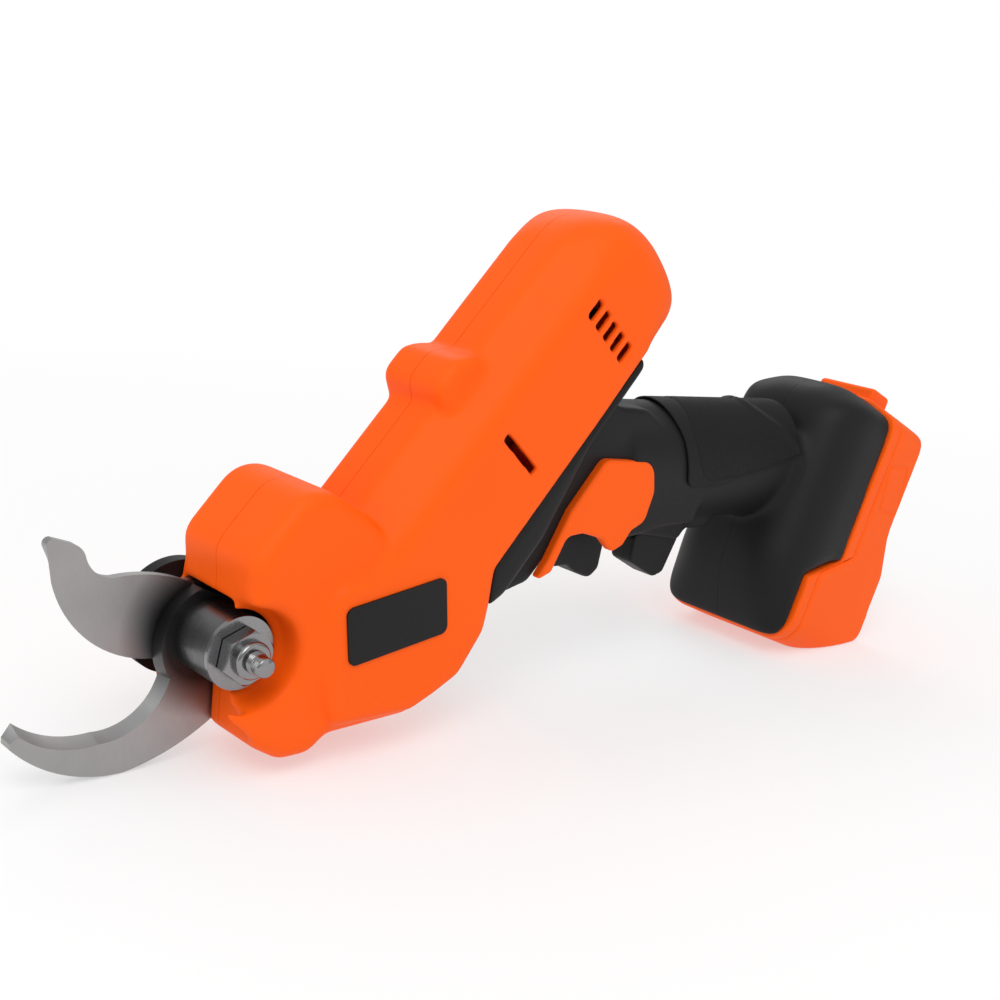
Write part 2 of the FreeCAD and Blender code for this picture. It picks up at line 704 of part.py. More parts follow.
def pivot_stack():
    """Bolt, sleeve, washer, nut and cap on the pivot axis, turned about local X along +Y."""
    at = cross_axis(0, 0)
    cap_in = "boss_face + 0.1"
    bolt = [
        ("-1 * stud_end", 0), ("-1 * stud_end", "stud_end_radius - stud_chamfer"),
        ("-1 * stud_end + stud_chamfer", "stud_end_radius"), ("-1 * thread_end", "stud_end_radius"),
        ("-1 * thread_end", "thread_radius"), ("-1 * washer_face", "thread_radius"),
        ("-1 * washer_face", "bolt_shank_radius"), (cap_in, "bolt_shank_radius"),
        (cap_in, "bolt_head_radius"), (cap_in + " + bolt_head_height", "bolt_head_radius"),
        (cap_in + " + bolt_head_height", 0)]
    turned("pivot_bolt", bolt, at)
    bore = "bolt_shank_radius + 0.02"
    turned("hub_sleeve", ring("-1 * washer_face", "hook_near_face", bore, "hub_radius"), at)
    turned("pivot_washer", ring("-1 * washer_face - washer_thickness", "-1 * washer_face",
                                "thread_radius + 0.1", "washer_radius"), at)
    cap_out = "boss_face + 0.1 + cap_thickness"
    turned("pivot_cap", [
        (cap_in, "bolt_head_radius + 0.2"), (cap_in, "cap_radius"), (cap_out + " - 1.5", "cap_radius"),
        (cap_out, "cap_radius - 1.5"), (cap_out, 0), (cap_in + " + bolt_head_height + 0.2", 0),
        (cap_in + " + bolt_head_height + 0.2", "bolt_head_radius + 0.2")], at)
    lock_nut()


def lock_nut():
    """Hexagon nut with a rounded locking collar on its outer end."""
    seat = -size("washer_face") - size("washer_thickness")
    flats = size("nut_across_flats") / 2
    corner = flats / math.cos(math.radians(30))
    points = [(corner * math.cos(math.radians(60 * i + 20)), corner * math.sin(math.radians(60 * i + 20)))
              for i in range(6)]
    hexagon = prism(points, "y", seat - size("nut_hex_height"), seat)
    cone = Part.makeCone(corner - 0.9, corner - 0.9 + 8, 8 * 0.7,
                         VECTOR(0, seat - size("nut_hex_height"), 0), ALONG_Y)
    hexagon = hexagon.common(cone)
    collar = rod(0, 0, flats - 1.8, seat - size("nut_hex_height") - size("nut_collar_height"), seat - 1)
    collar = collar.makeFillet(1.4, [edge for edge in collar.Edges if edge.BoundBox.YMax < seat - 7])
    nut = hexagon.fuse(collar).cut(rod(0, 0, size("thread_radius") + 0.02, -40, 0))
    feature("lock_nut", nut.removeSplitter())


# ---------------------------------------------------------------- orange housing


def barrel_solid(shrink):
    """The barrel: a crowned section, a rounded rear and rounded plan, each carved from the same block."""
    half, top, floor = size("barrel_half"), size("barrel_top"), size("barrel_floor")
    crown, shoulder = size("barrel_crown_half"), top - size("shoulder_drop")
    section = [(-half, floor, 1.5), (half, floor, 1.5), (half, shoulder, 12), (crown, top, 6), (-crown, top, 6),
               (-half, shoulder, 12)]
    end = size("barrel_end")
    side = [(38, floor, 0), (end - 4, floor, 12), (end + 3, floor + 20, 16), (end - 1, top, 29),
            (38, top, 0)]
    plan = [(38, -half, 0), (end + 4, -half, 25), (end + 4, half, 25), (38, half, 0)]
    solid = prism(inset(section, shrink), "x", 38 + shrink, end + 4)
    solid = solid.common(prism(inset(side, shrink), "y", -40, 40))
    return solid.common(prism(inset(plan, shrink), "z", floor - 5, top + 5))


def bump_solid():
    """The mid boss over the top of the barrel."""
    top = size("bump_top")
    corners = [(size("bump_start"), -20, 0), (size("bump_end") + 4, -20, 0), (size("bump_end"), -3, 3),
               (size("bump_end") - 7, top, 6), (size("bump_start") + 4, top, 6), (size("bump_start"), -5, 2)]
    return softened(prism(corners, "y", -17.5, 17.5), 4)


def lobe_solid(shrink):
    """The lobe over the swing of the sector gear."""
    half, top = size("lobe_half") - shrink, size("lobe_top")
    corners = [(8, 8, 0), (8, -30, 0), (63, -30, 0), (63, -4, 0), (58, top, 15), (27, top, 9), (22.6, 24, 8)]
    return softened(prism(inset(corners, shrink), "y", -half, half), 6)


def head_solid(shrink):
    """The head block around the gear train, in the row frame."""
    half = size("head_half") - shrink
    corners = [(-12, -18.5, 3), (3.5, -33, 8), (13, -38.8, 7), (25, -38.8, 7), (32, -33.4, 5), (67, -32.6, 5),
               (77, -28.0, 4), (88, -22.5, 6), (100.5, -6, 5), (101.5, 4, 3), (97, 40, 0), (59, 33.4, 0),
               (-1.8, 24, 3), (-3.2, 6, 0)]
    return softened(prism(inset(corners, shrink), "y", -half, half), 5)


def panel_solid(shrink):
    """The raised side panel that carries the badges, flush with the barrel's sides."""
    half = size("barrel_half") - shrink
    corners = [(29.5, -28.5, 5), (66, -29.5, 5), (77, -25.0, 4), (88, -19.5, 6), (98.5, -4, 5), (100, 5, 3),
               (103, 45, 0), (69, 43.2, 0), (56, 31, 4), (48, 26, 6), (31, 22.5, 9), (24.4, 12, 9),
               (25.2, -8, 8)]
    return softened(prism(inset(corners, shrink), "y", -half, half), 3)


def housing_solid(shrink):
    """The whole orange housing, or the hollow inside it when shrink is the wall."""
    solid = placed(barrel_solid(shrink), BARREL)
    solid = solid.fuse(placed(lobe_solid(shrink), BARREL))
    solid = solid.fuse(head_solid(shrink))
    return solid.fuse(panel_solid(shrink))


def axis_rib(hollow, u0, u1, bore):
    """A wall across the barrel that holds a round piece on the barrel axis."""
    slab = placed(box(u0, u1, -60, 60, -90, 40), BARREL)
    wall = hollow.common(slab)
    return wall.cut(placed(rod_u(u0 - 1, u1 + 1, bore, 0), barrel_axis(0)))


def vent_slots():
    """Five short vents behind the motor and one cross slot ahead of it, cut through both sides."""
    cuts = []
    for i in range(5):
        w = -26.2 - 6.1 * i
        cuts.append(box(174.0, 182.5, -40, 40, w - 1.9, w + 1.9))
    cuts.append(box(116.4, 120.0, -40, 40, -49, -27))
    return [placed(cut, BARREL) for cut in cuts]


def housing_screw_places():
    """Screw positions in the barrel frame, clear of the drive line."""
    return [(53.0, 12.0), (122.0, -5.0), (208.0, -31.0), (84.0, -56.5)]


NOSE_BACK = 2.0


def housings():
    """Left and right halves with ribs, bosses, the open nose around the hub and the vents."""
    wall = size("wall")
    outer = housing_solid(0).fuse(placed(bump_solid(), BARREL))
    hollow = housing_solid(wall)
    ribs = axis_rib(hollow, size("bearing_start"), size("bearing_start") + size("bearing_length"),
                    size("bearing_radius"))
    for u in (size("gearcase_start") + 3, size("gearcase_end") - 6):
        ribs = ribs.fuse(axis_rib(hollow, u, u + 3, size("gearcase_radius")))
    for u in (size("motor_start") + 4, size("motor_end") - 7):
        ribs = ribs.fuse(axis_rib(hollow, u, u + 3, size("motor_radius")))
    blades_end = 20.3
    nose = rod(0, 0, size("hub_clearance"), -40, blades_end)
    nose = nose.fuse(prism([(-40, -14), (-6, -14.5), (-3, 17.6), (-40, 17.6)], "y", -40, blades_end))
    nose = nose.fuse(box(-30, 6, size("hook_near_face") - 0.2, blades_end, -60, -10))
    nose = nose.fuse(box(-30, NOSE_BACK, 3 - size("head_half"), size("hook_near_face") - 0.2, -60, -10))
    chin = box(NOSE_BACK, NOSE_BACK + 8, -size("head_half"), size("hook_near_face") - 0.25, -60, 8)
    chin = chin.common(head_solid(0)).cut(rod(0, 0, 13.3, -30, 20))
    chin = chin.cut(rod(0, 0, size("hub_clearance"), -40, -12.0))
    cup = rod(0, 0, size("hub_clearance") + 2.4, -24.2, -10).common(outer)
    cup = cup.cut(rod(0, 0, size("hub_clearance"), -30, -12.0)).cut(rod(0, 0, 13.3, -30, 0))
    cup = cup.cut(box(-60, -2.5, -60, 60, -60, 60))
    boss = rod(0, 0, size("boss_radius"), blades_end, size("boss_face"))
    near_bush = rod(SHAFT.x, SHAFT.z, 9.0, -26, -17.5)
    far_bush = rod(SHAFT.x, SHAFT.z, 9.0, blades_end, 26)
    shell = outer.cut(hollow).fuse(ribs)
    shell = shell.cut(nose)
    left_box = box(-100, 400, -80, 0, -150, 250)
    right_box = box(-100, 400, 0, 80, -150, 250)
    left = shell.common(left_box).fuse(cup).fuse(near_bush).fuse(chin.common(left_box))
    right = shell.common(right_box).fuse(boss).fuse(far_bush).fuse(chin.common(right_box))
    for x, z in HOOK_SCREWS:
        post = rod(x, z, 5.0, -24, size("hook_near_face"))
        left = left.fuse(post.cut(box(-9, 400, 0, 80, -150, 250)))
        hole = rod(x, z, HOOK_SCREW_RADIUS + 0.02, -14, 20)
        left = left.cut(hole)
    for u, w in housing_screw_places():
        spot = BARREL.multVec(VECTOR(u, 0, w))
        post = rod(spot.x, spot.z, 4.0, -27, 0).common(outer)
        left = left.fuse(post)
        post = rod(spot.x, spot.z, 4.0, 0, 27).common(outer)
        right = right.fuse(post)
        hole = rod(spot.x, spot.z, 1.77, -16, 40)
        sink = rod(spot.x, spot.z, 3.3, 14, 40)
        left = left.cut(hole)
        right = right.cut(hole).cut(sink)
    bush = rod(SHAFT.x, SHAFT.z, 6.5, -21.5, 24.3)
    shaft = rod(0, 0, size("bolt_shank_radius") + 0.02, 0, 60)
    for cut in vent_slots() + [bush]:
        left = left.cut(cut)
        right = right.cut(cut)
    right = right.cut(shaft)
    for half, name in ((left, "left_housing"), (right, "right_housing")):
        feature(name, largest(half))


def screw(x, z, radius, head_radius, head_y, end_y, head_height):
    """A cap screw along Y with a socket in its head."""
    way = 1 if head_y > end_y else -1
    low, high = sorted((head_y, end_y))
    solid = rod(x, z, radius, low, high)
    head_low, head_high = sorted((head_y, head_y + way * head_height))
    solid = solid.fuse(rod(x, z, head_radius, head_low, head_high))
    socket = prism([(x + 1.3 * math.cos(math.radians(60 * i)), z + 1.3 * math.sin(math.radians(60 * i)))
                    for i in range(6)], "y", head_high - 1.4, head_high + 1)
    return solid.cut(socket)


def fasteners():
    shapes = []
    for u, w in housing_screw_places():
        spot = BARREL.multVec(VECTOR(u, 0, w))
        shapes.append(screw(spot.x, spot.z, 1.75, 3.1, 14.0, -14.0, 2.2))
    feature("housing_screws", Part.makeCompound(shapes))
    far = size("hook_near_face") + size("hook_thickness")
    shapes = [screw(x, z, HOOK_SCREW_RADIUS, 4.4, far, -12.0, 2.8) for x, z in HOOK_SCREWS]
    feature("hook_screws", Part.makeCompound(shapes))


def badges():
    """Blank oval-cornered badge plates, one on each side panel."""
    face = size("barrel_half")
    corners = [(35.0, -6.5, 3), (78.5, -0.4, 3), (75.5, 21.0, 3), (32.0, 14.9, 3)]
    pair = [prism(corners, "y", -face - 0.8, -face), prism(corners, "y", face, face + 0.8)]
    feature("badge_plates", Part.makeCompound(pair))


# ---------------------------------------------------------------- handle frame

# Each row: distance behind the foot's front, share of the full width, rise of the bottom, drop of the top.
FOOT_GROWTH = [(0, 0.42, 18, 20), (2, 0.60, 10.5, 13), (5.5, 0.77, 5, 8), (10.5, 0.90, 1.8, 4.2),
               (16, 0.97, 0.4, 2), (24, 1.0, 0.1, 0.6)]


def foot_section(start, low_half, top_half, low, high):
    """One cross-section of the foot: flat below, leaning sides and a crowned top."""
    part = low_half / size("foot_half")
    side = [(low_half, low, 9 * part), (top_half, high - 8 * part, 9 * part),
            (top_half * 0.42, high, 20 * part)]
    corners = side + [(-y, q, radius) for y, q, radius in reversed(side)]

    def lift(y, q):
        return VECTOR(start, y, q)

    return outline_wire(corners, lift)


def foot_solid(shrink):
    """The battery foot: sections that grow quickly from the handle to the battery's size."""
    half, top = size("foot_half") - shrink, size("foot_top_half") - shrink
    low, high = size("foot_low") + shrink, size("foot_high") - shrink
    front, rear = size("foot_front") + shrink, size("foot_rear")
    wires = []
    for step, part, rise, drop in FOOT_GROWTH:
        wires.append(foot_section(front + step, half * part, top * part, low + rise, high - drop))
    wires.append(foot_section(rear, half, top, low, high))
    solid = Part.makeLoft(wires, True, True)
    step = [(size("foot_step"), 60), (300, 60), (300, 122), (rear, 122), (size("foot_step"), 108)]
    if shrink == 0:
        return placed(solid.cut(prism(step, "y", -60, 60)), FOOT)
    inner_step = [(size("foot_step") - shrink, 60), (300, 60), (300, 124.5), (rear - shrink, 124.5),
                  (size("foot_step") - shrink, 110.5)]
    solid = solid.cut(prism(inner_step, "y", -60, 60))
    return placed(solid.cut(box(rear - shrink, 300, -60, 60, 60, 210)), FOOT)


def grip_solid(shrink, start, end, grow=0.0):
    """The oval handle core, tilted a little down towards the battery."""
    depth = size("handle_height") / 2 - shrink + grow
    half = size("handle_half") - shrink + grow
    oval = Part.Ellipse(VECTOR(0, 0, 0), depth, half).toShape()
    oval.Placement = FreeCAD.Placement(VECTOR(0, 0, 0), FreeCAD.Rotation(VECTOR(0, 1, 0), 90))
    solid = Part.Face(Part.Wire(oval)).extrude(VECTOR(end - start, 0, 0))
    base = VECTOR(start, 0, 47.5 + (start - 200) * math.tan(math.radians(size("handle_tilt"))))
    return placed(solid, FreeCAD.Placement(base, FreeCAD.Rotation(ALONG_Y, -size("handle_tilt"))))


def saddle_solid(grow=0.0):
    """The band of the frame that lies along the underside of the barrel, in the barrel frame."""
    half = size("barrel_half") - 0.6 + grow
    top = size("barrel_floor")
    corners = [(61, top + 12, 0), (64 - grow, top - 8 - grow, 4), (78, top - 13 - grow, 5),
               (104, top - 13 - grow, 8),
               (144, top - 5 - grow, 6), (184 + grow, top - 4.5 - grow, 3), (190, top + 12, 0)]
    return softened(prism(corners, "y", -half, half), 3)


def yoke_solid(shrink):
    """The web between the saddle and the handle, with the arch over the trigger."""
    half = 16.0 - shrink
    corners = [(88.5, 3.8, 0), (98, 0.4, 4), (130, 7.6, 5), (146, 25, 5), (166, 24, 5), (176, 18.5, 4),
               (196, 19, 4), (206, 21.5, 4), (230, 20.5, 0), (230, 60, 0), (206, 61, 8), (190, 73.5, 8),
               (168, 76, 6),
               (166, 92, 2), (120, 46, 0)]
    return prism(inset(corners, shrink), "y", -half, half)


def battery_channel():
    """In the foot frame: the lining, the slot the battery's rail block slides down, and two retaining lips."""
    rear = size("foot_rear")
    low, high, half = 105.0, 184.0, 24.0
    lining = box(263, rear - 0.1, -half - 3, half + 3, low - 3, high + 3)
    slot = box(266, rear + 8, -half, half, low, high)
    lips = box(286.2, rear - 0.1, 19.5, half, 122.5, high)
    lips = lips.fuse(box(286.2, rear - 0.1, -half, -19.5, 122.5, high))
    return lining, slot, lips


def frame_halves():
    """Left and right handle frame halves: saddle, web, handle core and battery foot in one shell."""
    wall = size("foot_wall")
    start, end = size("handle_start"), size("handle_end")
    body = yoke_solid(0).fuse(grip_solid(0, start, end)).fuse(foot_solid(0))
    hollow = yoke_solid(wall).fuse(grip_solid(wall, start + 2, end)).fuse(foot_solid(wall))
    lining, slot, lips = [placed(part, FOOT) for part in battery_channel()]
    barrel_clear = placed(box(-20, 230, -60, 60, size("barrel_floor") - 0.05, 60), BARREL)
    saddle = placed(saddle_solid(), BARREL)
    shell = body.cut(hollow).fuse(lining.common(foot_solid(0))).cut(slot).fuse(lips)
    shell = shell.fuse(saddle.cut(yoke_solid(wall))).cut(barrel_clear)
    shell = shell.cut(head_solid(-0.05)).cut(panel_solid(-0.05))
    shell = shell.cut(prism([(132, -20), (184, -20), (190, 34), (150, 34)], "y", -7.6, 7.6))
    lug = prism([(194, 17, 2), (222, 12.0, 2), (228, 10.2, 3), (231.5, 15.5, 2), (248, 13.8, 2), (251, 22, 1),
                 (196, 24, 1)], "y", -9.0, 9.0)
    shell = shell.fuse(lug).cut(box(190, 233, -6.4, 6.4, -10, 28))
    shell = shell.fuse(box(194, 232, -14.0, 14.0, 28, 30.5))
    shell = shell.cut(rod(size("lever_pin_x"), size("lever_pin_z"), size("lever_pin_radius"), -8.0, 8.0))
    for name, cutter in (("left_handle_frame", box(-100, 400, -80, 0, -150, 250)),
                         ("right_handle_frame", box(-100, 400, 0, 80, -150, 250))):
        feature(name, largest(shell.common(cutter)))


def grip_pads():
    """Soft pads over the rear of the handle, one on each side."""
    outline = [(215.0, 38.5, 7), (236.0, 37.8, 20), (292.0, 46.5), (292.0, 90.0), (203.0, 90.0),
               (205.0, 75.0, 6), (211.0, 60.0, 10)]
    ring_solid = grip_solid(0, 200, 292, size("pad_thickness")).cut(grip_solid(0, 180, 294, 0.02))
    ring_solid = ring_solid.common(prism(outline, "y", -40, 40)).cut(foot_solid(0)).cut(yoke_solid(-0.05))
    for name, cutter in (("left_grip_pad", box(-100, 400, -80, -0.05, -150, 250)),
                         ("right_grip_pad", box(-100, 400, 0.05, 80, -150, 250))):
        feature(name, largest(ring_solid.common(cutter)))


def trigger_surrounds():
    """Bright cheek plates on both sides of the trigger."""
    corners = [(130.0, 8.6, 1), (138.5, 11.5, 3), (145.5, 25.2, 5), (154.5, 25.6, 8), (165.5, 22.2, 6),
               (172.5, 15.6, 3), (178.5, 17.8, 3), (183.0, 23.6, 4), (190.5, 26.5, 6), (194.5, 39, 8),
               (192.0, 52.0, 8), (163.0, 55.2, 6), (146, 35.5, 6), (136, 16.5, 3)]
    for name, side in (("left_trigger_surround", -1), ("right_trigger_surround", 1)):
        low, high = sorted((side * 16.05, side * 20.0))
        solid = softened_outside(prism(corners, "y", low, high), side, 1.5)
        solid = solid.cut(grip_solid(0, size("handle_start"), size("handle_end"), 0.05))
        solid = solid.cut(placed(saddle_solid(0.05), BARREL))
        feature(name, largest(solid))


def softened_outside(solid, side, radius):
    """Round only the outline on the outer face of a side plate."""
    bounds = solid.BoundBox
    level = bounds.YMax if side > 0 else bounds.YMin
    edges = [edge for edge in solid.Edges
             if edge.BoundBox.YLength < 1e-3 and abs(edge.BoundBox.YMin - level) < 1e-3]
    return solid.makeFillet(radius, edges)


# ---------------------------------------------------------------- trigger, lever and springs


def trigger():
    """The trigger slides back and up under the finger; its lower face is hollowed for it."""
    half = size("trigger_half")
    corners = [(150, 33), (146.5, 22, 3), (152.0, 8.0, 2), (161, 7.5, 5), (167.5, 3.2, 6), (175, 0.2, 4),
               (180, 4, 3), (183.0, 26, 0), (178, 33, 0)]
    solid = softened(prism(corners, "y", -half, half), 1.2)
    feature("trigger", solid.fuse(box(154, 176, -10.5, 10.5, 29.4, 32.0)))


def spring(radius, wire_radius, pitch, height):
    """A helical spring along +Z with its foot at the origin."""
    helix = Part.makeHelix(pitch, height, radius)
    start = VECTOR(radius, 0, 0)
    section = Part.Wire(Part.Circle(start, ALONG_Y, wire_radius).toShape())
    return Part.Wire(helix).makePipeShell([section], True, True)


def lock_lever():
    """The lock lever: a paddle under the handle on a cross pin, squeezed up with the grip."""
    half = size("lever_half")
    corners = [(201.5, 15.6, 3), (200.4, 4.0, 3), (217.0, -5.0, 4), (223.0, -3.5, 3), (230.2, 11.0, 2),
               (230.2, 17.4, 3), (222, 18.6, 2), (212, 18.8, 3)]
    solid = prism(corners, "y", -half, half)
    bore = size("lever_pin_radius") + size("running_gap")
    solid = solid.cut(rod(size("lever_pin_x"), size("lever_pin_z"), bore, -20, 20))
    feature("lock_lever", solid)
    pin = cross_axis(size("lever_pin_x"), size("lever_pin_z"))
    turned("lever_pin", [(-8, 0), (8, 0), (8, "lever_pin_radius"), (-8, "lever_pin_radius")], pin)


def springs():
    """Return springs of the trigger, the lock lever and the battery latch."""
    wire = 0.4
    trigger_seat = FreeCAD.Placement(VECTOR(168, 0, 33.5), FreeCAD.Rotation())
    feature("trigger_spring", spring(3.0, wire, 1.9, 5.9), trigger_seat)
    lever_seat = FreeCAD.Placement(VECTOR(215, 0, 19.4), FreeCAD.Rotation())
    feature("lever_spring", spring(2.4, wire, 2.0, 8.0), lever_seat)
    latch_seat = FreeCAD.Placement(VECTOR(303, 0, 187.55), FreeCAD.Rotation())
    feature("latch_spring", placed(spring(3.0, wire, 1.1, 3.1), latch_seat), FOOT)


# ---------------------------------------------------------------- electronics in the handle


def electronics():
    """Trigger switch, control board, terminal block and power leads."""
    plate("trigger_switch", rectangle(162, 196, 40, 56), MIDDLE, -6.0, 6.0)
    plate("control_board", rectangle(204, 262, 46, 47.6), MIDDLE, -12.0, 12.0)
    block = placed(box(259.0, 262.9, -17, 17, 130, 172), FOOT)
    feature("terminal_block", block)
    blades = [placed(box(266.1, 285, y - 0.5, y + 0.5, 138, 166), FOOT) for y in (-10, 10)]
    feature("handle_contacts", Part.makeCompound(blades))
    switch_to_board = [(186, 57.2), (198, 60), (212, 57), (226, 52)]
    board_to_block = [(262.5, 48.6), (272, 49), (282, 46), (290, 41)]
    leads = []
    for y in (-3.2, 3.2):
        for stations in (switch_to_board, board_to_block):
            leads.append(lead([VECTOR(x, y, z) for x, z in stations]))
    feature("power_leads", Part.makeCompound(leads))


def lead(points):
    curve = Part.BSplineCurve()
    curve.interpolate(points)
    path = Part.Wire(curve.toShape())
    way = curve.tangent(curve.FirstParameter)[0]
    section = Part.Wire(Part.Circle(points[0], way, 1.1).toShape())
    return path.makePipeShell([section], True, True)


# ---------------------------------------------------------------- battery


def battery_side():
    """Side outline of the battery in the foot frame, anticlockwise, with its flat lower end on the bench."""
    low, high = size("battery_low"), size("battery_high")
    back, heel = size("battery_back"), size("battery_heel")
    tilt = math.radians(size("foot_angle"))

    def bench(u):
        return (size("bench_level") - u * math.sin(tilt)) / math.cos(tilt)

    first = (low * math.cos(tilt) - size("bench_level")) / -math.sin(tilt)
    rear, step = size("foot_rear") + 0.1, size("foot_step") + 0.1
    return [(step, low, 3), (first, low, 6), (heel, bench(heel), 7), (heel, 124, 6), (back, 142, 6),
            (back, high, 9), (rear, high, 2), (rear, 121.9, 1), (step, 107.9, 2)]


def battery_solid(shrink):
    """The battery's outer block: its side outline crossed with a crowned section."""
    half, top = size("foot_half") - shrink, size("foot_top_half") + 1.5 - shrink
    low, high = size("battery_low") + shrink, size("battery_high") - shrink
    solid = prism(inset(battery_side(), shrink), "y", -half, half)
    side = [(half, low, 13 - shrink), (top, high - 8, 8), (top * 0.42, high, 20)]
    section = side + [(-y, q, radius) for y, q, radius in reversed(side)]
    return solid.common(prism(section, "x", 240, 360))


def battery():
    """Cover towards the foot, tub behind it, cells in holders, terminals, rail and latch."""
    wall = 2.2
    outer, hollow = battery_solid(0), battery_solid(wall)
    latch_room = box(294.6, 311.4, -16.4, 16.4, 187.0, 220)
    pocket = box(292.1, 314.0, -18.6, 18.6, 184.6, 220).common(outer)
    rear, step = size("foot_rear") + 0.1, size("foot_step") + 0.1
    split = [(200, 40), (step + 7, 40), (step + 7, 111.5), (rear + 7, 125.5), (rear + 7, 230), (200, 230)]
    front = prism(split, "y", -60, 60)
    rail = box(272.5, 293, -17.0, 17.0, 128, 182).fuse(box(280.5, 285.6, -22.0, 22.0, 128, 182))
    rail = rail.cut(box(272, 291, -15.0, 15.0, 134, 183))
    shell = outer.cut(hollow).fuse(pocket).cut(latch_room)
    cover = shell.common(front).fuse(rail)
    tub = shell.cut(front)
    for name, shape in (("battery_cover", cover), ("battery_tub", tub)):
        feature(name, placed(largest(shape), FOOT))
    radius = size("cell_radius")
    reach = size("cell_length") / 2
    centres = [(285.0, 90.6), (304.5, 96.0), (309.0, 116.0), (309.0, 135.5), (309.0, 155.0)]
    cells = [rod(u, w, radius, -reach, reach) for u, w in centres]
    feature("battery_cells", placed(Part.makeCompound(cells), FOOT))
    holders = []
    for y in (-26.0, 20.0):
        holder = battery_solid(wall + 0.1).common(box(270, 330, y, y + 6, 79, 167))
        for u, w in centres:
            holder = holder.cut(rod(u, w, radius + 0.03, y - 1, y + 7))
        holders.append(holder)
    feature("cell_holders", placed(Part.makeCompound(holders), FOOT))
    contacts = [box(276, 291, y - 0.5, y + 0.5, 140, 164) for y in (-11.1, -8.9, 8.9, 11.1)]
    feature("battery_terminals", placed(Part.makeCompound(contacts), FOOT))
    latch = box(295, 311, -16, 16, 191.2, 206.5)
    latch = latch.makeFillet(2.0, [edge for edge in latch.Edges if edge.BoundBox.ZMin > 190])
    feature("battery_latch", placed(latch, FOOT))


# ---------------------------------------------------------------- build, check and write


def build():
    pivot_stack()
    hook_blade()
    moving_blade()
    drive_gears()
    bevel_wheel()
    bevel_pinion()
    cross_shaft()
    planetary()
    motor()
    housings()
    fasteners()
    badges()
    frame_halves()
    grip_pads()
    trigger_surrounds()
    trigger()
    lock_lever()
    springs()
    electronics()
    battery()
    DOC.recompute()


def check():
    for item in DOC.Objects:
        if "Invalid" in item.State or "Error" in item.State:
            raise RuntimeError("%s failed to build" % item.Label)
    for piece in PIECES:
        if piece.Shape.isNull() or not piece.Shape.isValid():
            raise RuntimeError("%s has no valid shape" % piece.Label)


def write():
    os.makedirs("parts", exist_ok=True)
    for piece in PIECES:
        piece.Shape.exportStep("parts/%s.step" % piece.Label)


build()
check()
write()
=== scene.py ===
import json
import math

import bmesh
import bpy
import numpy as np
from mathutils import Matrix, Vector


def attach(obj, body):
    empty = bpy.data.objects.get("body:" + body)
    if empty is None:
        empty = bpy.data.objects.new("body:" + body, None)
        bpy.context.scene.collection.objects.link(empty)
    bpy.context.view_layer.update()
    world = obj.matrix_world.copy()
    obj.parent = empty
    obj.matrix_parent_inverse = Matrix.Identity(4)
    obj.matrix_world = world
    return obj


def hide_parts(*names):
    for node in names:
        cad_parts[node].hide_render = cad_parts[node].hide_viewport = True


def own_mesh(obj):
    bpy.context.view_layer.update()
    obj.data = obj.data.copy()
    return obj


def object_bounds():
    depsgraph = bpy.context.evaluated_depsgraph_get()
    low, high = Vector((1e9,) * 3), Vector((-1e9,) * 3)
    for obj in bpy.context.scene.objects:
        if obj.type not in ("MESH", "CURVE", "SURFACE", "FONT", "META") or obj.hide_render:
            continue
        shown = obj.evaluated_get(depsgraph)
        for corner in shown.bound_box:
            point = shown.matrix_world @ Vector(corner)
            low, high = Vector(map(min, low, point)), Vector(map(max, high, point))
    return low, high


# Visual model of the battery electric pruner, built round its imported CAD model.
# Everything is in metres in the row frame: -X forward to the blades, +Y the tool's right side, +Z up.

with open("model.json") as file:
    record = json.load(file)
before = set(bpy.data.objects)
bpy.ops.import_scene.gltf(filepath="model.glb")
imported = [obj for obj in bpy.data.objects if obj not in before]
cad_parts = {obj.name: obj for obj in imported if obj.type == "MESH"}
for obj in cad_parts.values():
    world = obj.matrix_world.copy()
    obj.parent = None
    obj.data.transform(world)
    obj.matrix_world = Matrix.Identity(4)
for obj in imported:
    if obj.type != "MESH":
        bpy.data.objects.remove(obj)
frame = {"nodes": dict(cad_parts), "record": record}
CAD_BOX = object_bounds()
NODES = frame["nodes"]
MM = 0.001

# The tool's middle plane, where the two halves of the housing meet, in millimetres.
MIDDLE_Y = 27.9

# Two working frames turn about Y: the barrel's, along which the housing runs, and the battery foot's.
BARREL_ANGLE = math.radians(48.5)
FOOT_ANGLE = math.radians(-22.9)


# ---------------------------------------------------------------- materials


def new_material(name):
    material = bpy.data.materials.new(name)
    material.use_nodes = True
    tree = material.node_tree
    shader = tree.nodes["Principled BSDF"]
    return material, tree, shader


def coordinates(tree, stretch=(1, 1, 1)):
    """Object coordinates, in metres, stretched along each axis."""
    source = tree.nodes.new("ShaderNodeTexCoord")
    mapping = tree.nodes.new("ShaderNodeMapping")
    mapping.inputs["Scale"].default_value = stretch
    tree.links.new(source.outputs["Object"], mapping.inputs["Vector"])
    return mapping.outputs["Vector"]


def noise(tree, vector, scale, detail=2.0, roughness=0.5):
    texture = tree.nodes.new("ShaderNodeTexNoise")
    texture.inputs["Scale"].default_value = scale
    texture.inputs["Detail"].default_value = detail
    texture.inputs["Roughness"].default_value = roughness
    tree.links.new(vector, texture.inputs["Vector"])
    return texture.outputs["Fac"]


def ramp(tree, value, low, high, start=0.35, end=0.65):
    """A colour that runs from low to high as the value goes from start to end."""
    node = tree.nodes.new("ShaderNodeValToRGB")
    node.color_ramp.elements[0].position = start
    node.color_ramp.elements[1].position = end
    node.color_ramp.elements[0].color = (*low, 1)
    node.color_ramp.elements[1].color = (*high, 1)
    tree.links.new(value, node.inputs["Fac"])
    return node.outputs["Color"]


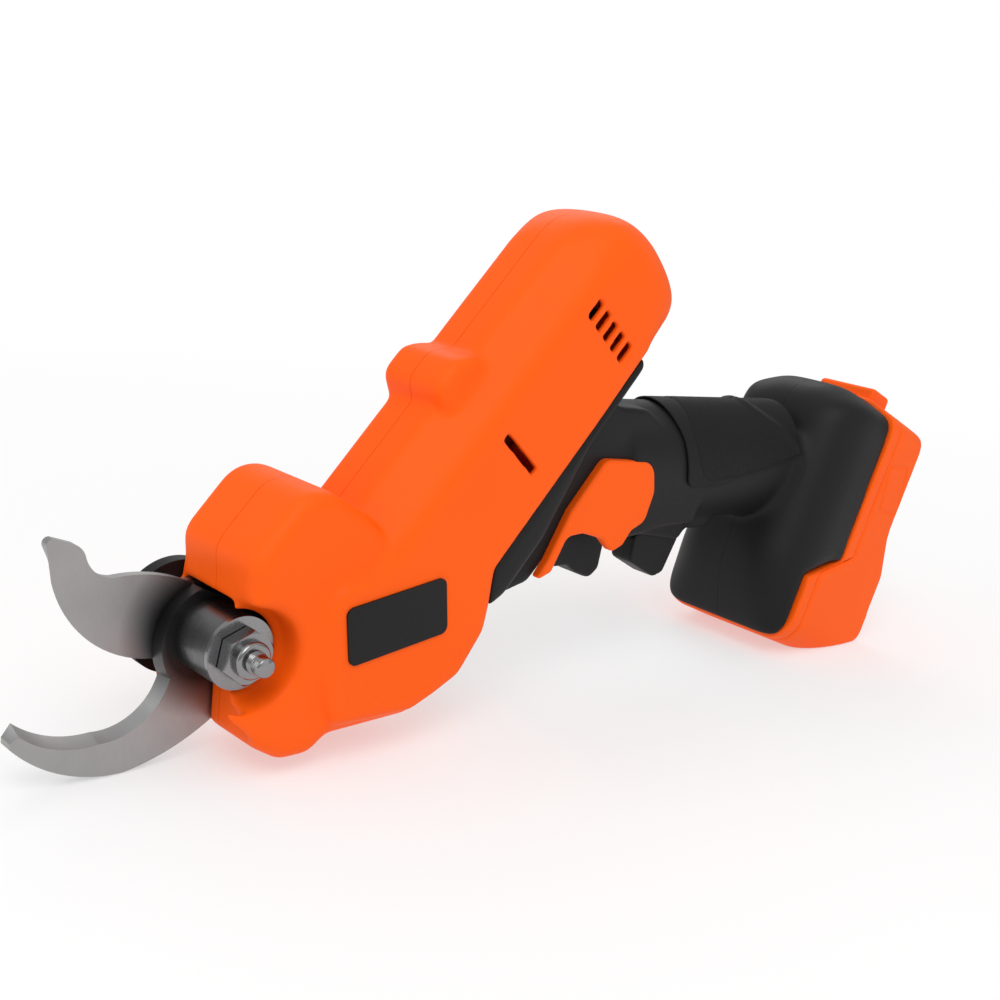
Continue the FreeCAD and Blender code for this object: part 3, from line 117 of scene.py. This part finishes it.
def spread(tree, value, low, high, start=0.3, end=0.7):
    """A number that runs from low to high as the value goes from start to end."""
    node = tree.nodes.new("ShaderNodeMapRange")
    node.inputs["From Min"].default_value = start
    node.inputs["From Max"].default_value = end
    node.inputs["To Min"].default_value = low
    node.inputs["To Max"].default_value = high
    tree.links.new(value, node.inputs["Value"])
    return node.outputs["Result"]


def bump(tree, shader, height, depth, strength=1.0):
    node = tree.nodes.new("ShaderNodeBump")
    node.inputs["Strength"].default_value = strength
    node.inputs["Distance"].default_value = depth
    tree.links.new(height, node.inputs["Height"])
    tree.links.new(node.outputs["Normal"], shader.inputs["Normal"])


def shades(colour, variation):
    """A darker and a lighter neighbour of a colour."""
    darker = tuple(c * (1 - variation) for c in colour)
    lighter = tuple(min(1.0, c * (1 + variation)) for c in colour)
    return darker, lighter


def moulded(name, colour, variation, roughness, grain, depth, gloss=0.25):
    """Moulded plastic or rubber: an even colour with a slight drift and a fine spark-eroded grain."""
    material, tree, shader = new_material(name)
    vector = coordinates(tree)
    drift = noise(tree, vector, 14.0, 1.0)
    tree.links.new(ramp(tree, drift, *shades(colour, variation)), shader.inputs["Base Color"])
    texture = noise(tree, vector, grain, 3.0, 0.6)
    tree.links.new(spread(tree, texture, roughness - 0.05, roughness + 0.06), shader.inputs["Roughness"])
    shader.inputs["Specular IOR Level"].default_value = gloss
    bump(tree, shader, texture, depth, 0.6)
    return material


def metal(name, colour, variation, roughness, stretch, scale, depth):
    """Ground or turned metal: fine streaks drawn out across the stretch."""
    material, tree, shader = new_material(name)
    streak = noise(tree, coordinates(tree, stretch), scale, 4.0, 0.6)
    cloud = noise(tree, coordinates(tree), 45.0, 2.0)
    tree.links.new(ramp(tree, cloud, *shades(colour, variation), 0.3, 0.7), shader.inputs["Base Color"])
    tree.links.new(spread(tree, streak, roughness - 0.06, roughness + 0.08), shader.inputs["Roughness"])
    shader.inputs["Metallic"].default_value = 1.0
    bump(tree, shader, streak, depth, 0.5)
    return material


def blade_with_painted_pivot_shade(name, colour, pivot_shade_colour, hub):
    """Satin blade steel with painted shade round the pivot: darkened there, fading out beyond the hub radius.
    """
    material = metal(name, colour, 0.05, 0.42, (1, 1, 0.12), 2200.0, 0.00002)
    tree = material.node_tree
    shader = tree.nodes["Principled BSDF"]
    flat = tree.nodes.new("ShaderNodeVectorMath")
    flat.operation = "MULTIPLY"
    flat.inputs[1].default_value = (1, 0, 1)
    tree.links.new(coordinates(tree), flat.inputs[0])
    reach = tree.nodes.new("ShaderNodeVectorMath")
    reach.operation = "LENGTH"
    tree.links.new(flat.outputs["Vector"], reach.inputs[0])
    # Painted shade: the steel is darkened round the pivot, where shade falls next to the hub, fading out
    # beyond the hub radius.
    pivot_shade_fade = spread(tree, reach.outputs["Value"], 0.0, 1.0, hub, hub * 1.9)
    steel = shader.inputs["Base Color"].links[0].from_socket
    mix = tree.nodes.new("ShaderNodeMix")
    mix.data_type = "RGBA"
    mix.inputs["A"].default_value = (*pivot_shade_colour, 1)
    tree.links.new(pivot_shade_fade, mix.inputs["Factor"])
    tree.links.new(steel, mix.inputs["B"])
    tree.links.new(mix.outputs["Result"], shader.inputs["Base Color"])
    return material


MATERIALS = {
    "orange_plastic": moulded("orange_plastic", (1.0, 0.112, 0.003), 0.02, 0.5, 1500.0, 0.00003, 0.14),
    "black_plastic": moulded("black_plastic", (0.010, 0.010, 0.0105), 0.10, 0.48, 1400.0, 0.00004, 0.18),
    "black_rubber": moulded("black_rubber", (0.009, 0.009, 0.0095), 0.12, 0.6, 1700.0, 0.00006, 0.18),
    # The blade steel carries painted shade round the pivot.
    "blade_steel": blade_with_painted_pivot_shade("blade_steel", (0.37, 0.365, 0.365), (0.04, 0.04, 0.041), 0.016),
    "hub_steel": metal("hub_steel", (0.15, 0.15, 0.155), 0.10, 0.3, (0.1, 1.6, 0.1), 1500.0, 0.00002),
    "zinc_steel": metal("zinc_steel", (0.27, 0.27, 0.275), 0.06, 0.2, (1, 1, 1), 900.0, 0.000004),
    "gear_steel": metal("gear_steel", (0.30, 0.30, 0.31), 0.10, 0.34, (1, 1, 1), 1300.0, 0.00002),
    "bush_bronze": metal("bush_bronze", (0.55, 0.33, 0.14), 0.10, 0.40, (1, 1, 1), 1800.0, 0.00003),
    "motor_metal": metal("motor_metal", (0.30, 0.30, 0.31), 0.08, 0.36, (0.3, 1, 0.3), 1200.0, 0.00002),
    "copper_windings": metal("copper_windings", (0.60, 0.26, 0.10), 0.15, 0.35, (0.1, 1, 1), 2500.0, 0.0001),
    "grey_plastic": moulded("grey_plastic", (0.05, 0.05, 0.055), 0.08, 0.5, 1300.0, 0.00004),
    "board_green": moulded("board_green", (0.01, 0.12, 0.04), 0.2, 0.3, 900.0, 0.00002),
    "contact_brass": metal("contact_brass", (0.72, 0.50, 0.20), 0.08, 0.28, (1, 1, 1), 1200.0, 0.00001),
    "lead_rubber": moulded("lead_rubber", (0.30, 0.01, 0.01), 0.08, 0.45, 1200.0, 0.00002),
    "spring_steel": metal("spring_steel", (0.45, 0.45, 0.46), 0.08, 0.3, (1, 1, 1), 1500.0, 0.00001),
    "cell_wrap": moulded("cell_wrap", (0.02, 0.08, 0.25), 0.08, 0.3, 800.0, 0.00001),
}


def dress(obj, slot):
    """Give a piece the material of its slot."""
    obj.data.materials.clear()
    obj.data.materials.append(MATERIALS[slot])


def shade(obj, angle=35.0):
    """Smooth shading, kept sharp at edges steeper than angle."""
    mesh = obj.data
    mesh.polygons.foreach_set("use_smooth", [True] * len(mesh.polygons))
    mesh.set_sharp_from_angle(angle=math.radians(angle))


def broken_edges(obj, width):
    """A small round on the sharp edges of a CAD piece."""
    bevel = obj.modifiers.new("edges", "BEVEL")
    bevel.width = width
    bevel.segments = 3
    bevel.limit_method = "ANGLE"
    bevel.angle_limit = math.radians(28)


def dress_cad():
    slots = {entry["node"]: entry["material_slot"] for entry in frame["record"]["subparts"]}
    for name, obj in NODES.items():
        dress(obj, slots[name])
        shade(obj)
    dress(NODES["pivot_washer"], "zinc_steel")
    for name in ("moving_blade", "hook_blade", "lock_nut", "hub_sleeve", "pivot_washer", "pivot_cap",
                 "badge_plates"):
        broken_edges(NODES[name], 0.35 * MM)


# ---------------------------------------------------------------- moulded skins


def joined_mesh(names, name):
    """One mesh holding copies of the named CAD nodes."""
    joined = bmesh.new()
    for node in names:
        joined.from_mesh(NODES[node].data)
    mesh = bpy.data.meshes.new(name)
    joined.to_mesh(mesh)
    joined.free()
    return mesh


def even_mesh(names, name, voxel):
    """The named CAD nodes as one evenly meshed skin."""
    obj = bpy.data.objects.new(name, joined_mesh(names, name))
    bpy.context.scene.collection.objects.link(obj)
    remesh = obj.modifiers.new("even", "REMESH")
    remesh.mode = "VOXEL"
    remesh.voxel_size = voxel
    graph = bpy.context.evaluated_depsgraph_get()
    mesh = bpy.data.meshes.new_from_object(obj.evaluated_get(graph))
    obj.modifiers.clear()
    obj.data = mesh
    return obj


def points_of(mesh):
    """The vertex positions in millimetres, with Y counted from the middle plane."""
    flat = np.empty(len(mesh.vertices) * 3)
    mesh.vertices.foreach_get("co", flat)
    return flat.reshape(-1, 3) / MM - (0, MIDDLE_Y, 0)


def put_points(mesh, points):
    mesh.vertices.foreach_set("co", ((points + (0, MIDDLE_Y, 0)) * MM).ravel())
    mesh.update()


def relax(mesh, points, rounds, share):
    """Move every vertex towards its neighbours' middle, by its own share, as many rounds as asked."""
    ends = np.empty(len(mesh.edges) * 2, dtype=np.int64)
    mesh.edges.foreach_get("vertices", ends)
    first, second = ends[0::2], ends[1::2]
    count = len(points)
    degree = np.bincount(first, minlength=count) + np.bincount(second, minlength=count)
    for _ in range(rounds):
        middle = np.empty_like(points)
        for axis in range(3):
            column = points[:, axis]
            total = np.bincount(first, weights=column[second], minlength=count)
            total += np.bincount(second, weights=column[first], minlength=count)
            middle[:, axis] = total / degree
        points = points + (middle - points) * share[:, None]
    return points


def normals_of(mesh):
    flat = np.empty(len(mesh.vertices) * 3)
    mesh.vertices.foreach_get("normal", flat)
    return flat.reshape(-1, 3)


def step(value, start, end):
    """A smooth rise from 0 to 1 as the value goes from start to end."""
    t = np.clip((value - start) / (end - start), 0, 1)
    return t * t * (3 - 2 * t)


def band(value, low, high, edge):
    """1 between low and high, falling to 0 over the edge on both sides."""
    return step(value, low - edge, low) * (1 - step(value, high, high + edge))


def in_frame(points, angle):
    """Vertex positions along and across a working frame that is turned about Y."""
    along = points[:, 0] * math.cos(angle) + points[:, 2] * math.sin(angle)
    across = -points[:, 0] * math.sin(angle) + points[:, 2] * math.cos(angle)
    return along, across


def soft_skin(names, name, voxel, passes, shape=None, move=None):
    """The named CAD nodes as one skin: moved, softened in passes by each vertex's share, and then raised."""
    obj = even_mesh(names, name, voxel)
    points = points_of(obj.data)
    if move:
        points = move(points)
    for rounds, share in passes:
        weights = share(points) if share else np.full(len(points), 0.5)
        points = relax(obj.data, points, rounds, weights)
    put_points(obj.data, points)
    if shape:
        put_points(obj.data, points + normals_of(obj.data) * shape(points)[:, None])
    return obj


def half_of(skin, name, side, gap):
    """The half of a skin on one side of the middle plane, cut square and closed."""
    work = bmesh.new()
    work.from_mesh(skin.data)
    plane = Vector((0, MIDDLE_Y * MM + side * gap / 2, 0))
    everything = work.verts[:] + work.edges[:] + work.faces[:]
    bmesh.ops.bisect_plane(work, geom=everything, dist=1e-7, plane_co=plane, plane_no=Vector((0, side, 0)),
                           clear_inner=True)
    rim = [edge for edge in work.edges if edge.is_boundary]
    bmesh.ops.triangle_fill(work, use_beauty=False, use_dissolve=False, edges=rim)
    bmesh.ops.recalc_face_normals(work, faces=work.faces[:])
    mesh = bpy.data.meshes.new(name)
    work.to_mesh(mesh)
    work.free()
    obj = bpy.data.objects.new(name, mesh)
    bpy.context.scene.collection.objects.link(obj)
    return obj


def split_shell(nodes, names, slot, skin, gap):
    """Replace a pair of CAD halves by the halves of their softened skin, with a fine seam between them."""
    for node, name, side in zip(nodes, names, (-1, 1)):
        half = half_of(skin, name, side, gap)
        dress(half, slot)
        shade(half, 60)
        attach(half, "tool_body")
        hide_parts(node)
    bpy.data.objects.remove(skin)


def soften(node, name, body, slot, voxel, rounds, shape=None):
    """Replace one CAD node by its softened skin."""
    skin = soft_skin([node], name, voxel, [(rounds, None)], shape)
    dress(skin, slot)
    shade(skin, 60)
    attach(skin, body)
    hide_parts(node)
    return skin


def housing_share(points):
    """How much the housing is softened: hardly at the vents, most round the pivot nut and at the rear."""
    along, across = in_frame(points, BARREL_ANGLE)
    share = np.full(len(points), 0.08)
    share += 0.07 * band(along, 106, 138, 4) * step(across, -12, -6)
    share += 0.12 * step(along, 150, 186)
    share += 0.36 * (1 - step(np.hypot(points[:, 0], points[:, 2]), 25, 32)) * step(-points[:, 1], 8, 12)
    share += 0.30 * step(along, 186, 200)
    side = step(np.abs(points[:, 1]), 20, 24)
    vents = band(along, 172, 184, 3) * band(across, -54, -22, 3) * side
    slot = band(along, 114, 122, 3) * band(across, -52, -24, 3) * side
    return share * (1 - 0.95 * np.maximum(vents, slot))


def dome_share(points):
    """The barrel's rear end alone, where it is softened into a dome."""
    along, _ = in_frame(points, BARREL_ANGLE)
    return 0.5 * step(along, 187, 207)


def dome(points):
    """How far the softened rear end is filled out again, so that it keeps its length and girth."""
    along, across = in_frame(points, BARREL_ANGLE)
    return step(along, 188, 210) * (3.6 - 3.2 * step(across, -40, -8))


def frame_share(points):
    """How much the handle frame is softened: least at the battery rim, most over the foot's front."""
    along, _ = in_frame(points, FOOT_ANGLE)
    share = 0.10 + 0.16 * step(points[:, 0], 180, 196)
    share += 0.28 * step(along, 240, 252)
    return share * (1 - 0.85 * step(along, 284, 290))


def swept_foot(points):
    """The foot's front swept back towards its lower end, and its rim brought level with the battery's."""
    along, up = in_frame(points, FOOT_ANGLE)
    foot = step(along, 244, 250)
    back = 7.0 * foot * (1 - step(along, 255, 272)) * (1 - step(up, 77, 112))
    down = 2.0 * foot * (1 - step(up, 78, 90))
    moved = points.copy()
    moved[:, 0] += back * math.cos(FOOT_ANGLE) + down * math.sin(FOOT_ANGLE)
    moved[:, 2] += back * math.sin(FOOT_ANGLE) - down * math.cos(FOOT_ANGLE)
    return moved


# The raised ring where the handle meets the foot, as seen from the side, from its underside up to its top.
COLLAR_LINE = [(288.0, 18.0), (290.0, 30.0), (292.0, 40.0), (292.0, 48.0), (289.0, 53.0), (281.5, 58.0),
               (272.5, 63.5), (266.0, 68.0), (262.0, 74.0)]
COLLAR_HEIGHT = 1.1
COLLAR_WIDTH = 2.0


def collar(points):
    """How far each vertex is raised by the ring where the handle meets the foot."""
    near = band(points[:, 2], 14, 80, 5) * (1 - step(np.abs(points[:, 1]), 21, 24))
    return COLLAR_HEIGHT * np.exp(-((edge_distance(points, COLLAR_LINE) / COLLAR_WIDTH) ** 2)) * near


# The ribbed field's edge as seen from the side, from its front at the top round to its lower rear.
FIELD_EDGE = [(219.5, 78.0), (219.0, 73.0), (217.6, 68.0), (217.8, 60.5), (220.3, 51.0), (223.5, 44.5),
              (229.0, 41.6), (246.0, 42.0), (264.0, 43.6), (292.0, 47.5)]
FIELD_GROOVE = 0.6
RIB_PITCH = 1.5
RIB_HEIGHT = 0.16


def edge_distance(points, line):
    """The distance in side view from each vertex to an open line of points."""
    flat = points[:, [0, 2]]
    nearest = np.full(len(points), 1e9)
    for start, end in zip(line[:-1], line[1:]):
        start, end = np.array(start), np.array(end)
        way = end - start
        t = np.clip(((flat - start) @ way) / (way @ way), 0, 1)
        gap = np.linalg.norm(flat - (start + t[:, None] * way), axis=1)
        nearest = np.minimum(nearest, gap)
    return nearest


def inside_field(points):
    """1 over the ribbed field, behind its front edge and above its lower one, and 0 round it."""
    edge = np.array(FIELD_EDGE)
    front = np.interp(points[:, 2], edge[5::-1, 1], edge[5::-1, 0])
    lower = np.interp(points[:, 0], edge[5:, 0], edge[5:, 1])
    return step(points[:, 0] - front, 0.8, 1.8) * step(points[:, 2] - lower, 0.8, 1.8)


def pad_shape(points):
    """Fine ribs over a field, a groove round it, and the ring at its rear."""
    groove = np.exp(-((edge_distance(points, FIELD_EDGE) / 0.7) ** 2))
    ribbed = inside_field(points) * step(edge_distance(points, COLLAR_LINE), 2.5, 4.0)
    ribs = np.sin(2 * math.pi * points[:, 0] / RIB_PITCH) * ribbed
    return RIB_HEIGHT * ribs - FIELD_GROOVE * groove + collar(points)


# The blank label on the battery's side: its middle, half sizes, corner radius and tilt in the foot frame.
LABEL_MIDDLE = (311.0, 164.0)
LABEL_HALF = (7.8, 11.3)
LABEL_CORNER = 2.0
LABEL_TILT = math.radians(13)


def label(points):
    """A fine sunk frame, with no mark in it, on both sides of the battery."""
    along, up = in_frame(points, FOOT_ANGLE)
    along, up = along - LABEL_MIDDLE[0], up - LABEL_MIDDLE[1]
    across = along * math.cos(LABEL_TILT) + up * math.sin(LABEL_TILT)
    length = up * math.cos(LABEL_TILT) - along * math.sin(LABEL_TILT)
    reach = np.abs(np.stack([across, length], axis=1)) - np.array(LABEL_HALF) + LABEL_CORNER
    distance = np.abs(np.linalg.norm(np.maximum(reach, 0), axis=1) - LABEL_CORNER)
    return -0.5 * (1 - step(distance, 0.35, 1.1)) * step(np.abs(points[:, 1]), 33, 35)


def build_shells():
    skin = soft_skin(["left_housing", "right_housing"], "work_skin", 0.8 * MM,
                     [(90, housing_share), (420, dome_share)], dome)
    split_shell(["left_housing", "right_housing"], ["left_housing_skin", "right_housing_skin"],
                "orange_plastic", skin, 0.25 * MM)
    skin = soft_skin(["left_handle_frame", "right_handle_frame"], "work_skin", 0.8 * MM,
                     [(90, frame_share)], collar, swept_foot)
    split_shell(["left_handle_frame", "right_handle_frame"], ["left_frame_skin", "right_frame_skin"],
                "black_plastic", skin, 0.1 * MM)
    for side in ("left", "right"):
        soften(side + "_grip_pad", side + "_grip_skin", "tool_body", "black_rubber", 0.4 * MM, 8,
               shape=pad_shape)
    soften("battery_cover", "battery_cover_skin", "battery_pack", "orange_plastic", 0.7 * MM, 4)
    soften("battery_tub", "battery_tub_skin", "battery_pack", "orange_plastic", 0.7 * MM, 16, label)
    soften("battery_latch", "battery_latch_skin", "latch_group", "orange_plastic", 0.5 * MM, 4)
    soften("trigger", "trigger_skin", "trigger_group", "black_plastic", 0.5 * MM, 12)
    soften("lock_lever", "lock_lever_skin", "lever_group", "black_plastic", 0.5 * MM, 8)


# ---------------------------------------------------------------- springs


def build_springs():
    """The return springs, copied from their CAD coils and attached to their bodies; they keep their CAD
    length as their joints move.
    """
    middle = MIDDLE_Y * MM
    foot_up = (math.sin(-FOOT_ANGLE), 0, math.cos(FOOT_ANGLE))
    for node, body, joint, axis, anchor, keep in (
            ("trigger_spring", "tool_body", "trigger_pull", (0, 0, 1), (0.168, middle, 0.0398), 0.60),
            ("lever_spring", "tool_body", "lever_squeeze", (0, 0, 1), (0.215, middle, 0.0278), 0.56),
            ("latch_spring", "battery_pack", "latch_press", foot_up, (0.3516, middle, 0.0540), 0.34)):
        coil = bpy.data.objects.new(node + "_coil", NODES[node].data.copy())
        bpy.context.scene.collection.objects.link(coil)
        dress(coil, "spring_steel")
        shade(coil)
        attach(coil, body)
        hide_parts(node)
        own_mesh(coil)


# ---------------------------------------------------------------- pivot bolt

THREAD_RADIUS = 4.0
THREAD_DEPTH = 0.6
THREAD_PITCH = 1.25
THREAD_START = -26.0
THREAD_END = -14.0


def bolt_profile():
    """Stations along Y with their radius, from the plain free end to the head under the cap."""
    plain = [(-30.0, 3.0), (-29.6, 3.45), (-26.4, 3.45)]
    count = int((THREAD_END - THREAD_START) / 0.12)
    pitch = (THREAD_END - THREAD_START) / count
    threaded = [(THREAD_START + pitch * i, THREAD_RADIUS) for i in range(count + 1)]
    rest = [(-12.7, 4.0), (-12.7, 4.99), (26.1, 4.99), (26.1, 7.9), (30.4, 7.9), (30.5, 7.5)]
    return plain + threaded + rest


def thread_height(y, angle):
    """How far the thread's surface lies below its crest, for a pointed thread rounded at the root."""
    turn = (y / THREAD_PITCH + angle / (2 * math.pi)) % 1.0
    ends = min(1.0, (y - THREAD_START) / 0.6)
    return THREAD_DEPTH * (0.5 + 0.5 * math.cos(2 * math.pi * turn)) * ends + 0.5 * (1 - ends)


def build_bolt():
    """The pivot bolt with a real helical thread."""
    segments = 72
    work = bmesh.new()
    rings = []
    for y, radius in bolt_profile():
        ring = []
        for i in range(segments):
            angle = 2 * math.pi * i / segments
            threaded = THREAD_START <= y <= THREAD_END
            reach = radius - thread_height(y, angle) if threaded else radius
            place = (reach * math.cos(angle) * MM, (y + MIDDLE_Y) * MM, reach * math.sin(angle) * MM)
            ring.append(work.verts.new(place))
        rings.append(ring)
    for low, high in zip(rings[:-1], rings[1:]):
        for i in range(segments):
            following = (i + 1) % segments
            work.faces.new((low[i], high[i], high[following], low[following]))
    work.faces.new(rings[0])
    work.faces.new(rings[-1])
    bmesh.ops.recalc_face_normals(work, faces=work.faces[:])
    mesh = bpy.data.meshes.new("pivot_bolt_threaded")
    work.to_mesh(mesh)
    work.free()
    obj = bpy.data.objects.new("pivot_bolt_threaded", mesh)
    bpy.context.scene.collection.objects.link(obj)
    dress(obj, "zinc_steel")
    shade(obj, 50)
    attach(obj, "tool_body")
    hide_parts("pivot_bolt")


# ---------------------------------------------------------------- stage, lights and camera

SKY_LOW = 0.30
SKY_HIGH = 0.85
FLOOR_NEAR = 0.35
FLOOR_FAR = 0.9


def area_light(name, place, target, width, height, power):
    data = bpy.data.lights.new(name, "AREA")
    data.shape = "RECTANGLE"
    data.size = width
    data.size_y = height
    data.energy = power
    lamp = bpy.data.objects.new(name, data)
    lamp.location = place
    lamp.rotation_euler = (Vector(target) - Vector(place)).to_track_quat("-Z", "Y").to_euler()
    bpy.context.scene.collection.objects.link(lamp)


def build_floor():
    """A pale floor: lit and shadowed near the tool, glowing evenly white farther out so no horizon shows."""
    mesh = bpy.data.meshes.new("floor")
    work = bmesh.new()
    bmesh.ops.create_grid(work, x_segments=1, y_segments=1, size=6.0)
    work.to_mesh(mesh)
    work.free()
    floor = bpy.data.objects.new("floor", mesh)
    floor.location = (0.15, 0, CAD_BOX[0][2] - 0.0001)
    bpy.context.scene.collection.objects.link(floor)
    material, tree, shader = new_material("floor")
    reach = tree.nodes.new("ShaderNodeVectorMath")
    reach.operation = "LENGTH"
    tree.links.new(coordinates(tree), reach.inputs[0])
    far = spread(tree, reach.outputs["Value"], 0.0, 1.0, FLOOR_NEAR, FLOOR_FAR)
    tree.links.new(ramp(tree, far, (0.5, 0.5, 0.5), (0.0, 0.0, 0.0), 0.0, 1.0), shader.inputs["Base Color"])
    tree.links.new(spread(tree, far, 0.46, 1.0, 0.0, 1.0), shader.inputs["Emission Strength"])
    shader.inputs["Emission Color"].default_value = (1, 1, 1, 1)
    shader.inputs["Roughness"].default_value = 0.9
    shader.inputs["Specular IOR Level"].default_value = 0.0
    floor.data.materials.append(material)


def build_sky():
    """White behind the tool; its light fades from a bright top to a darker horizon, so metal has contrast."""
    world = bpy.data.worlds.new("studio")
    world.use_nodes = True
    tree = world.node_tree
    glow = tree.nodes["Background"]
    source = tree.nodes.new("ShaderNodeTexCoord")
    split = tree.nodes.new("ShaderNodeSeparateXYZ")
    tree.links.new(source.outputs["Generated"], split.inputs["Vector"])
    height = spread(tree, split.outputs["Z"], SKY_LOW, SKY_HIGH, -0.1, 0.9)
    path = tree.nodes.new("ShaderNodeLightPath")
    seen = tree.nodes.new("ShaderNodeMix")
    tree.links.new(path.outputs["Is Camera Ray"], seen.inputs["Factor"])
    tree.links.new(height, seen.inputs["A"])
    seen.inputs["B"].default_value = 1.0
    tree.links.new(seen.outputs["Result"], glow.inputs["Strength"])
    glow.inputs["Color"].default_value = (1, 1, 1, 1)
    bpy.context.scene.world = world


def build_stage():
    build_floor()
    build_sky()
    middle = (0.12, 0.03, 0.04)
    area_light("key", (-0.55, -0.75, 1.15), middle, 0.9, 0.9, 8.5)
    area_light("side", (-1.1, 0.5, 0.45), middle, 0.7, 0.9, 2.0)
    area_light("rear", (0.9, 0.9, 0.9), middle, 0.9, 0.7, 3.0)
    area_light("front", (0.5, -1.2, 0.35), middle, 0.9, 0.7, 1.2)
    bpy.context.scene.view_settings.view_transform = "Standard"


def build_camera():
    """A camera at the left front of the tool, a little above it."""
    data = bpy.data.cameras.new("camera")
    data.sensor_width = 36.0
    data.lens = 52.2
    data.clip_start = 0.01
    camera = bpy.data.objects.new("camera", data)
    right = Vector((0.736, -0.670, 0.103)).normalized()
    back = Vector((-0.671, -0.699, 0.246)).normalized()
    up = back.cross(right).normalized()
    right = up.cross(back)
    turn = Matrix((right, up, back)).transposed().to_4x4()
    camera.matrix_world = Matrix.Translation((-0.2561, -0.3973 + MIDDLE_Y * MM, 0.1771)) @ turn
    bpy.context.scene.collection.objects.link(camera)
    bpy.context.scene.camera = camera


dress_cad()
build_shells()
build_springs()
build_bolt()
build_stage()
build_camera()
